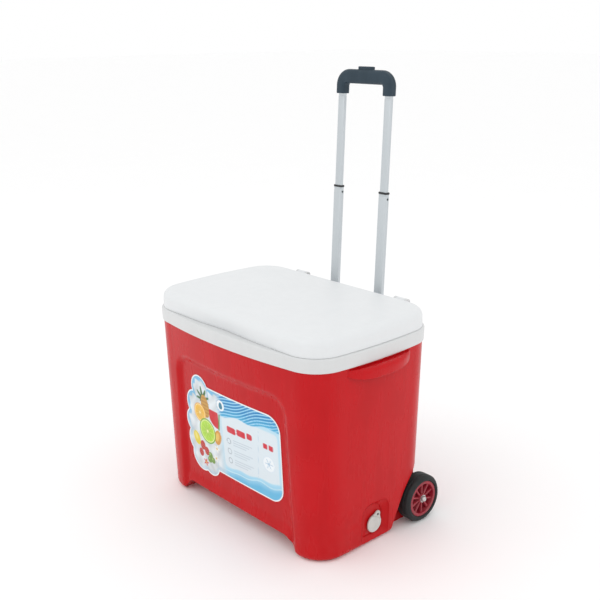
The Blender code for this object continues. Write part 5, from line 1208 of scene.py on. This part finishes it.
def label_reach(angle):
    """The farthest of a rounded rectangle and the lobes' circles along each ray."""
    ray = np.column_stack((np.cos(angle), np.sin(angle)))
    reach = np.zeros(len(angle))
    for x, z, radius in LOBES:
        offset = np.array((x, z)) - LABEL_MIDDLE
        run = ray @ offset
        inside = radius**2 - offset @ offset + run**2
        reach = np.maximum(reach, np.where(inside > 0, run + np.sqrt(np.maximum(inside, 0)), 0))
    low = np.array((LABEL_LEFT, LABEL_LOW)) - LABEL_MIDDLE
    high = np.array((LABEL_RIGHT, LABEL_TOP)) - LABEL_MIDDLE
    tiny = 1e-9
    side = np.where(ray[:, 0] > 0, high[0], low[0]) / np.where(np.abs(ray[:, 0]) < tiny, tiny, ray[:, 0])
    level = np.where(ray[:, 1] > 0, high[1], low[1]) / np.where(np.abs(ray[:, 1]) < tiny, tiny, ray[:, 1])
    straight = np.minimum(np.where(side > 0, side, 1.0), np.where(level > 0, level, 1.0))
    corner = ray * straight[:, None]
    for sign, edge in ((1, high[1]), (-1, low[1])):
        centre = np.array((high[0] - LABEL_CORNER, edge - sign * LABEL_CORNER))
        near = (corner[:, 0] > centre[0]) & (sign * (corner[:, 1] - centre[1]) > 0)
        run = ray @ centre
        rounded = run + np.sqrt(np.maximum(LABEL_CORNER**2 - centre @ centre + run**2, 0))
        straight = np.where(near, np.minimum(straight, rounded), straight)
    return np.maximum(reach, straight)


ANGLES = np.linspace(0, 2 * math.pi, 720, endpoint=False)
REACH = label_reach(ANGLES)
print("label reaches from", round(float(REACH.min()), 3), "to", round(float(REACH.max()), 3))


# %% Print on the label
def edge_mask(distance, soft=0.0008):
    """1 inside a shape and 0 outside, across a soft edge, from a signed distance."""
    return np.clip(0.5 - distance / soft, 0, 1)[..., None]


def disc(x, z, cx, cz, radius, squash=1.0, lean=0.0):
    """Signed distance to a disc, or to an ellipse squashed across its own height."""
    dx, dz = x - cx, z - cz
    across = dx * math.cos(lean) + dz * math.sin(lean)
    up = -dx * math.sin(lean) + dz * math.cos(lean)
    return np.hypot(across / squash, up) - radius


def bar(x, z, x0, z0, x1, z1, radius=0.0):
    """Signed distance to a rounded rectangle."""
    ox = np.abs(x - (x0 + x1) / 2) - (x1 - x0) / 2 + radius
    oz = np.abs(z - (z0 + z1) / 2) - (z1 - z0) / 2 + radius
    return np.hypot(np.maximum(ox, 0), np.maximum(oz, 0)) + np.minimum(np.maximum(ox, oz), 0) - radius


def over(base, colour, mask):
    """One ink printed over another: base (1 - mask) + colour mask."""
    return base * (1 - mask) + np.asarray(colour) * mask


def slice_of_fruit(base, x, z, cx, cz, radius, rind, pith, flesh, wedges, lean=0.0):
    """A cut fruit: rind, pale pith, and wedges of flesh parted by thin pale spokes."""
    far = disc(x, z, cx, cz, 0.0, 1.0)
    turn = np.arctan2(z - cz, x - cx) + lean
    base = over(base, rind, edge_mask(far - radius))
    base = over(base, pith, edge_mask(far - 0.90 * radius))
    spokes = np.abs(np.sin(0.5 * wedges * turn)) * far
    glow = 0.85 + 0.3 * (far / radius)[..., None]
    base = over(base, np.clip(np.asarray(flesh) * glow, 0, 1),
        edge_mask(far - 0.82 * radius) * edge_mask(0.0011 - spokes) * edge_mask(0.12 * radius - far))
    return base


def print_colours(x, z, rim):
    """Linear colours of the print at (x, z); rim is the distance in from the label's edge."""
    sky = np.array((0.50, 0.72, 0.84))
    deep, mid, ice = np.array((0.02, 0.22, 0.52)), np.array((0.06, 0.42, 0.70)), np.array((0.42, 0.72,
        0.88))
    fade = np.clip((x + 0.02) / 0.17, 0, 1)[..., None]
    colour = np.broadcast_to(sky, (*x.shape, 3)) * (1 - 0.25 * fade) + 0.25 * fade * ice
    streak = np.sin(900 * (z - 0.36 * x) + 3.0 * np.sin(55 * x)) * 0.5 + 0.5
    panel = edge_mask(bar(x, z, -0.030, 0.124, 0.149, 0.256, 0.010), 0.004)
    colour = over(colour, (0.70, 0.79, 0.84), panel)
    top_line = 0.2470 + 0.105 * (x + 0.02) + 0.0035 * np.sin(70 * x)
    top = edge_mask(top_line - z, 0.002)
    waves = over(mid + 0 * colour, deep, edge_mask(0.45 - streak, 0.25) * np.clip((z - top_line) / 0.02,
        0, 1)[..., None])
    waves = over(waves, ice, edge_mask(streak - 0.22, 0.15) * 0.85)
    colour = over(colour, waves, top * np.clip((x + 0.060) / 0.03, 0, 1)[..., None])
    low_line = 0.1220 + 0.115 * (x + 0.03) + 0.0020 * np.sin(90 * x)
    low = edge_mask(z - low_line, 0.002)
    sea = over(ice + 0 * colour, mid, np.clip((low_line - z) / 0.022, 0, 1)[..., None] * 0.8)
    sea = over(sea, (0.70, 0.86, 0.93), edge_mask(np.abs(z - low_line + 0.009 + 0.002 * np.sin(60 * x))
        - 0.0012) * 0.7)
    colour = over(colour, sea, low * np.clip((x + 0.045) / 0.03, 0, 1)[..., None])
    cloud = np.clip((-0.028 - x) / 0.02, 0, 1)[..., None]
    puffs = (np.sin(130 * x + 2 * np.sin(60 * z)) * np.sin(110 * z + 1.7 * np.sin(75 * x)) * 0.5
        + 0.5)[..., None]
    colour = over(colour, (0.60 + 0.22 * puffs[..., 0:1]) * np.array((0.94, 1.02, 1.06)), cloud)
    ripple = edge_mask(rim - 0.011 - 0.003 * np.sin(230 * (x + z)), 0.004) * cloud
    colour = over(colour, mid, ripple * 0.55 * edge_mask(0.19 - z, 0.08) + ripple * 0.25)

    leaf_turn = np.arctan2(z - 0.262, x + 0.096)
    leaf_far = np.hypot((x + 0.096) * 1.25, z - 0.262)
    leaves = edge_mask(leaf_far - 0.013 - 0.018
        * np.abs(np.cos(4.5 * (leaf_turn - 1.75))) ** 2.5) * edge_mask(0.255 - z)
    colour = over(colour, (0.020, 0.105, 0.035), leaves)
    colour = over(colour, (0.07, 0.24, 0.06), leaves * edge_mask(np.abs(np.sin(9 * leaf_turn)) - 0.35, 0.3))
    fruit = disc(x, z, -0.089, 0.247, 0.027, 0.55, 0.15)
    scales = np.sin(620 * (x + 0.6 * z)) * np.sin(620 * (x - 0.6 * z))
    colour = over(colour, (0.42, 0.19, 0.03), edge_mask(fruit))
    colour = over(colour, (0.62, 0.36, 0.06), edge_mask(fruit) * edge_mask(-scales, 0.6))

    colour = over(colour, (0.60, 0.02, 0.03),
        edge_mask(np.maximum(disc(x, z, -0.046, 0.238, 0.032),
            bar(x, z, -0.075, 0.200, -0.042, 0.246, 0.004))))
    colour = over(colour, (0.10, 0.30, 0.06),
        edge_mask(np.abs(x + 0.040 - 0.15 * (z - 0.225)) - 0.0022) * edge_mask(np.abs(z - 0.224) - 0.020))
    colour = slice_of_fruit(colour, x, z, -0.1120, 0.2250, 0.0225, (0.78, 0.34, 0.02),
        (0.90, 0.78, 0.42), (0.80, 0.46, 0.05), 10, 0.2)
    colour = over(colour, (0.74, 0.60, 0.04), edge_mask(disc(x, z, -0.1330, 0.1560, 0.0170, 0.72, 0.4)))
    colour = over(colour, (0.85, 0.76, 0.20),
        edge_mask(disc(x, z, -0.1350, 0.1600, 0.0080, 0.60, 0.4), 0.006))
    colour = over(colour, (0.66, 0.30, 0.04), edge_mask(disc(x, z, -0.0500, 0.1840, 0.0190, 0.62, -0.3)))
    colour = over(colour, (0.80, 0.52, 0.12),
        edge_mask(disc(x, z, -0.0515, 0.1850, 0.0110, 0.50, -0.3), 0.004))
    colour = slice_of_fruit(colour, x, z, -0.0880, 0.1870, 0.0300, (0.14, 0.40, 0.02),
        (0.78, 0.86, 0.36), (0.40, 0.66, 0.05), 9)
    for cx, cz, size in ((-0.1120, 0.1440, 0.0115), (-0.0980, 0.1340, 0.0105), (-0.1200, 0.1240, 0.0100)):
        colour = over(colour, (0.48, 0.015, 0.03), edge_mask(disc(x, z, cx, cz, size, 0.82)))
        seeds = np.sin(1150 * x) * np.sin(1150 * z)
        colour = over(colour, (0.78, 0.42, 0.16),
            edge_mask(disc(x, z, cx, cz, size * 0.85, 0.8)) * edge_mask(0.72 - seeds, 0.3))
    for cx, cz in ((-0.0850, 0.1280), (-0.0770, 0.1180), (-0.0890, 0.1160)):
        colour = over(colour, (0.16, 0.30, 0.05), edge_mask(disc(x, z, cx, cz, 0.0078)))
        colour = over(colour, (0.40, 0.56, 0.18),
            edge_mask(disc(x, z, cx - 0.0022, cz + 0.0024, 0.0026), 0.003))
    for cx, cz, petals, tone in ((-0.0580, 0.1540, 5, (0.86, 0.86, 0.80)),
        (-0.1050, 0.1040, 5, (0.62, 0.04, 0.05)), (-0.0640, 0.1280, 6, (0.86, 0.84, 0.82))):
        turn = np.arctan2(z - cz, x - cx)
        flower = np.hypot(x - cx, z - cz) - 0.0095 * (0.66 + 0.34 * np.cos(petals * turn))
        colour = over(colour, tone, edge_mask(flower))
        colour = over(colour, (0.70, 0.46, 0.06), edge_mask(disc(x, z, cx, cz, 0.0026)))

    badge = np.hypot(x + 0.0290, z - 0.2680)
    colour = over(colour, (0.86, 0.90, 0.92), edge_mask(badge - 0.0125))
    drop = np.hypot(x + 0.0290, (z - 0.2655) * np.where(z > 0.2655, 0.62, 1.0)) - 0.0062
    colour = over(colour, (0.03, 0.20, 0.30), edge_mask(drop))
    red = (0.62, 0.02, 0.04)
    for x0, x1, z0, z1 in ((-0.0130, 0.0160, 0.2120, 0.2270), (0.0200, 0.0490, 0.2145, 0.2295),
        (0.0530, 0.0700, 0.2175, 0.2315)):
        colour = over(colour, red, edge_mask(bar(x, z, x0, z0, x1, z1, 0.004)))
    for cz in (0.1910, 0.1665, 0.1440):
        far = np.hypot(x + 0.0095, z - cz)
        colour = over(colour, (0.30, 0.36, 0.42), edge_mask(np.abs(far - 0.0062) - 0.0008))
        for row in range(3):
            height = cz + 0.0060 - 0.0055 * row
            length = 0.0640 - 0.010 * row
            tilt = z - height - 0.06 * (x - 0.005)
            line = np.maximum(np.abs(tilt) - 0.0010, np.abs(x - 0.005 - length / 2) - length / 2)
            colour = over(colour, (0.46, 0.55, 0.62), edge_mask(line) * 0.75)
    colour = over(colour, (0.55, 0.68, 0.78),
        edge_mask(np.abs(x - 0.0820 - 0.095 * (z - 0.1336)) - 0.0006)
            * edge_mask(np.abs(z - 0.192) - 0.058))
    for x0, x1 in ((0.1040, 0.1180), (0.1210, 0.1350)):
        colour = over(colour, red, edge_mask(bar(x, z, x0, 0.2145, x1, 0.2265, 0.003)))
    stamp = np.hypot(x - 0.1190, z - 0.1815)
    colour = over(colour, (0.66, 0.76, 0.84), edge_mask(stamp - 0.0185))
    colour = over(colour, (0.84, 0.90, 0.93), edge_mask(stamp - 0.0165))
    turn = np.arctan2(z - 0.1815, x - 0.1190)
    flake = np.maximum(np.abs(np.sin(3 * turn)) * stamp - 0.0026, stamp - 0.0120)
    colour = over(colour, (0.40, 0.56, 0.70), edge_mask(flake))
    return over(colour, (0.86, 0.88, 0.89), edge_mask(rim - 0.0030))


def label_piece():
    """Front and back sheets of the polar grid, joined round the edge."""
    share = np.concatenate((np.linspace(0.012, 0.94, 84), np.linspace(0.945, 1.0, 12)))
    reach = share[:, None] * REACH[None, :]
    x = LABEL_MIDDLE[0] + reach * np.cos(ANGLES)
    z = LABEL_MIDDLE[1] + reach * np.sin(ANGLES)
    back = front_face(x, z) + PANEL_DEPTH - 2 * AIR
    rings = np.stack((x, back - 0.0004, z), axis=-1)
    outer_back = np.stack((x[-1], back[-1], z[-1]), axis=-1)[None]
    inner_back = np.stack((x[:1], back[:1], z[:1]), axis=-1)
    return skin(np.concatenate((rings, outer_back, inner_back)))


def nearest_edge(x, z):
    """Distance in from the outline, taken along the ray and to the straight sides."""
    angle = np.arctan2(z - LABEL_MIDDLE[1], x - LABEL_MIDDLE[0]) % (2 * math.pi)
    reach = np.interp(angle, np.append(ANGLES, 2 * math.pi), np.append(REACH, REACH[0]))
    slope = np.gradient(REACH, ANGLES) / REACH
    squeeze = 1 / np.sqrt(1 + np.interp(angle, ANGLES, slope) ** 2)
    return (reach - np.hypot(x - LABEL_MIDDLE[0], z - LABEL_MIDDLE[1])) * squeeze


def printed_film():
    """Satin film whose colour is the print and whose gloss is broken by faint creases."""
    material = bpy.data.materials.new("printed_film")
    material.use_nodes = True
    tree = material.node_tree
    shader = tree.nodes["Principled BSDF"]
    shader.inputs["Specular IOR Level"].default_value = 0.25
    print_layer = node(tree, "ShaderNodeVertexColor", layer_name="print")
    surface = use_group(tree, MOULDED_SKIN, Grain=1400.0, Waves=50.0)
    faded = mix_colour(tree, maths(tree, "MULTIPLY", surface.outputs["Drift"], 0.06),
        print_layer.outputs["Color"], (0.80, 0.82, 0.82))
    tree.links.new(faded, shader.inputs["Base Color"])
    tree.links.new(smooth_range(tree, surface.outputs["Drift"], 0.0, 1.0, 0.34, 0.44),
        shader.inputs["Roughness"])
    relief = node(tree, "ShaderNodeBump", Strength=0.05, Distance=0.0008)
    tree.links.new(surface.outputs["Height"], relief.inputs["Height"])
    tree.links.new(relief.outputs["Normal"], shader.inputs["Normal"])
    return material


label = put("picture_label", label_piece(), "cooler", printed_film(), ("front_label",), crisp=60)
corners = np.empty(len(label.data.vertices) * 3, np.float32)
label.data.vertices.foreach_get("co", corners)
x, _, z = corners.reshape(-1, 3).astype(float).T
colours = np.clip(print_colours(x, z, nearest_edge(x, z)), 0, 1)
layer = label.data.color_attributes.new("print", "FLOAT_COLOR", "POINT")
layer.data.foreach_set("color", np.column_stack((colours, np.ones(len(x)))).astype(np.float32).ravel())
print("print points", len(x))

# %% [markdown]
# ## Small fittings
# Screws, pins, washers, brackets and the rest are already the right shape in the CAD model, but
# its triangles are loose and flat-shaded. A copy of each is merged into a proper mesh, shaded
# smooth except at real edges, and given its own finish. Foam and the other hidden pieces too. The
# button's spring stays the CAD mesh itself, since it shortens when the button is pressed.

# %% Smooth copies of the CAD fittings
FITTINGS = {
    "bracket_black": (BRACKET_BLACK, "black_plastic",
        ("handle_bezel", "handle_foot", "axle_retainer_left", "axle_retainer_right", "release_bar",
            "lock_pin_left", "lock_pin_right", "drain_tether_pin")),
    "plated": (PLATED_STEEL, "steel", ("axle", "wheel_washer_left", "wheel_washer_right",
        "hinge_pin_left", "hinge_pin_right", "bezel_screw", "foot_screw", "grip_screw_left",
            "grip_screw_right", "retainer_screw_left", "retainer_screw_right", "release_rod_left",
                "release_rod_right")),
    "drain_white": (DRAIN_WHITE, "white_plastic", ("drain_spout", "drain_nut")),
    "seal": (SEAL, "seal_rubber", ("drain_gasket",)),
    "foam": (FOAM, "foam", ("body_foam", "lid_foam")),
}


def smooth_copy(name, finish):
    """A merged copy of a CAD node that stands for it."""
    source = frame["nodes"][name]
    edit = bmesh.new()
    edit.from_mesh(source.data)
    bmesh.ops.remove_doubles(edit, verts=edit.verts, dist=2e-6)
    mesh = bpy.data.meshes.new(f"{name}_finished")
    edit.to_mesh(mesh)
    edit.free()
    mesh.materials.clear()
    mesh.materials.append(finish)
    shade(mesh, 32)
    copy = bpy.data.objects.new(f"{name}_finished", mesh)
    bpy.context.scene.collection.objects.link(copy)
    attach(copy, source["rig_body"])
    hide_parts(name)
    return copy


for finish, slot, names in FITTINGS.values():
    for name in names:
        smooth_copy(name, finish)
for spot in frame["nodes"]["button_spring"].material_slots:
    spot.material = PLATED_STEEL
print("fittings", sum(len(names) for _, _, names in FITTINGS.values()))

# %% [markdown]
# ## Floor, lights and camera
# A pale sweep of floor, a wide soft key above the front, a fill from the drain's side and an even
# white sky keep the plastic bright with soft shadows, as in a catalogue set.

# %% Stage, lights and camera
def floor_sweep():
    """A wide paper floor."""
    size = 30.0
    mesh = bpy.data.meshes.new("studio_floor")
    mesh.from_pydata([(-size, -size, 0), (size, -size, 0), (size, size, 0), (-size, size, 0)], [],
        [(0, 1, 2, 3)])
    floor = bpy.data.objects.new("studio_floor", mesh)
    bpy.context.scene.collection.objects.link(floor)
    material = bpy.data.materials.new("studio_paper")
    material.use_nodes = True
    tree = material.node_tree
    shader = tree.nodes["Principled BSDF"]
    place = node(tree, "ShaderNodeTexCoord").outputs["Object"]
    tone = mix_colour(tree, noise(tree, place, 3.0, 2.0), (0.985, 0.985, 0.985), (0.995, 0.995, 0.995))
    tree.links.new(tone, shader.inputs["Base Color"])
    shader.inputs["Roughness"].default_value = 0.9
    shader.inputs["Specular IOR Level"].default_value = 0.1
    mesh.materials.append(material)
    return floor


def softbox(name, place, aim, size, power):
    """A rectangular lamp turned to face aim."""
    light = bpy.data.lights.new(name, "AREA")
    light.shape, light.size, light.size_y, light.energy = "RECTANGLE", size[0], size[1], power
    lamp = bpy.data.objects.new(name, light)
    lamp.location = place
    lamp.rotation_euler = (Vector(aim) - Vector(place)).to_track_quat("-Z", "Y").to_euler()
    bpy.context.scene.collection.objects.link(lamp)
    return lamp


floor_sweep()
world = bpy.data.worlds.new("white_studio")
world.use_nodes = True
world.node_tree.nodes["Background"].inputs["Color"].default_value = (1.0, 1.0, 1.0, 1.0)
world.node_tree.nodes["Background"].inputs["Strength"].default_value = 1.0
bpy.context.scene.world = world
softbox("key", (-0.6, -2.2, 2.6), (0, 0, 0.3), (2.4, 1.6), 9)
softbox("fill", (2.6, 0.4, 1.5), (0, 0, 0.3), (1.8, 1.8), 3)
softbox("overhead", (0.0, 0.3, 3.0), (0, 0, 0.4), (2.6, 2.6), 3)

AZIMUTH, ELEVATION, DISTANCE, LENS, ROLL = 47.86, 16.66, 1.979, 54.83, -0.458
TARGET = Vector((0.01724, -0.00847, 0.4741))
az, el = math.radians(AZIMUTH), math.radians(ELEVATION)
back = Vector((math.sin(az) * math.cos(el), -math.cos(az) * math.cos(el), math.sin(el)))
lens = bpy.data.cameras.new("camera")
lens.lens, lens.sensor_width = LENS, 36.0
lens.clip_start, lens.clip_end = 0.05, 60.0
camera = bpy.data.objects.new("camera", lens)
turn = back.to_track_quat("Z", "Y").to_matrix().to_4x4() @ Matrix.Rotation(math.radians(ROLL), 4, "Z")
camera.matrix_world = Matrix.Translation(TARGET + back * DISTANCE) @ turn
bpy.context.scene.collection.objects.link(camera)
bpy.context.scene.camera = camera
bpy.context.scene.view_settings.view_transform = "Standard"
print("camera at", [round(value, 3) for value in camera.location])
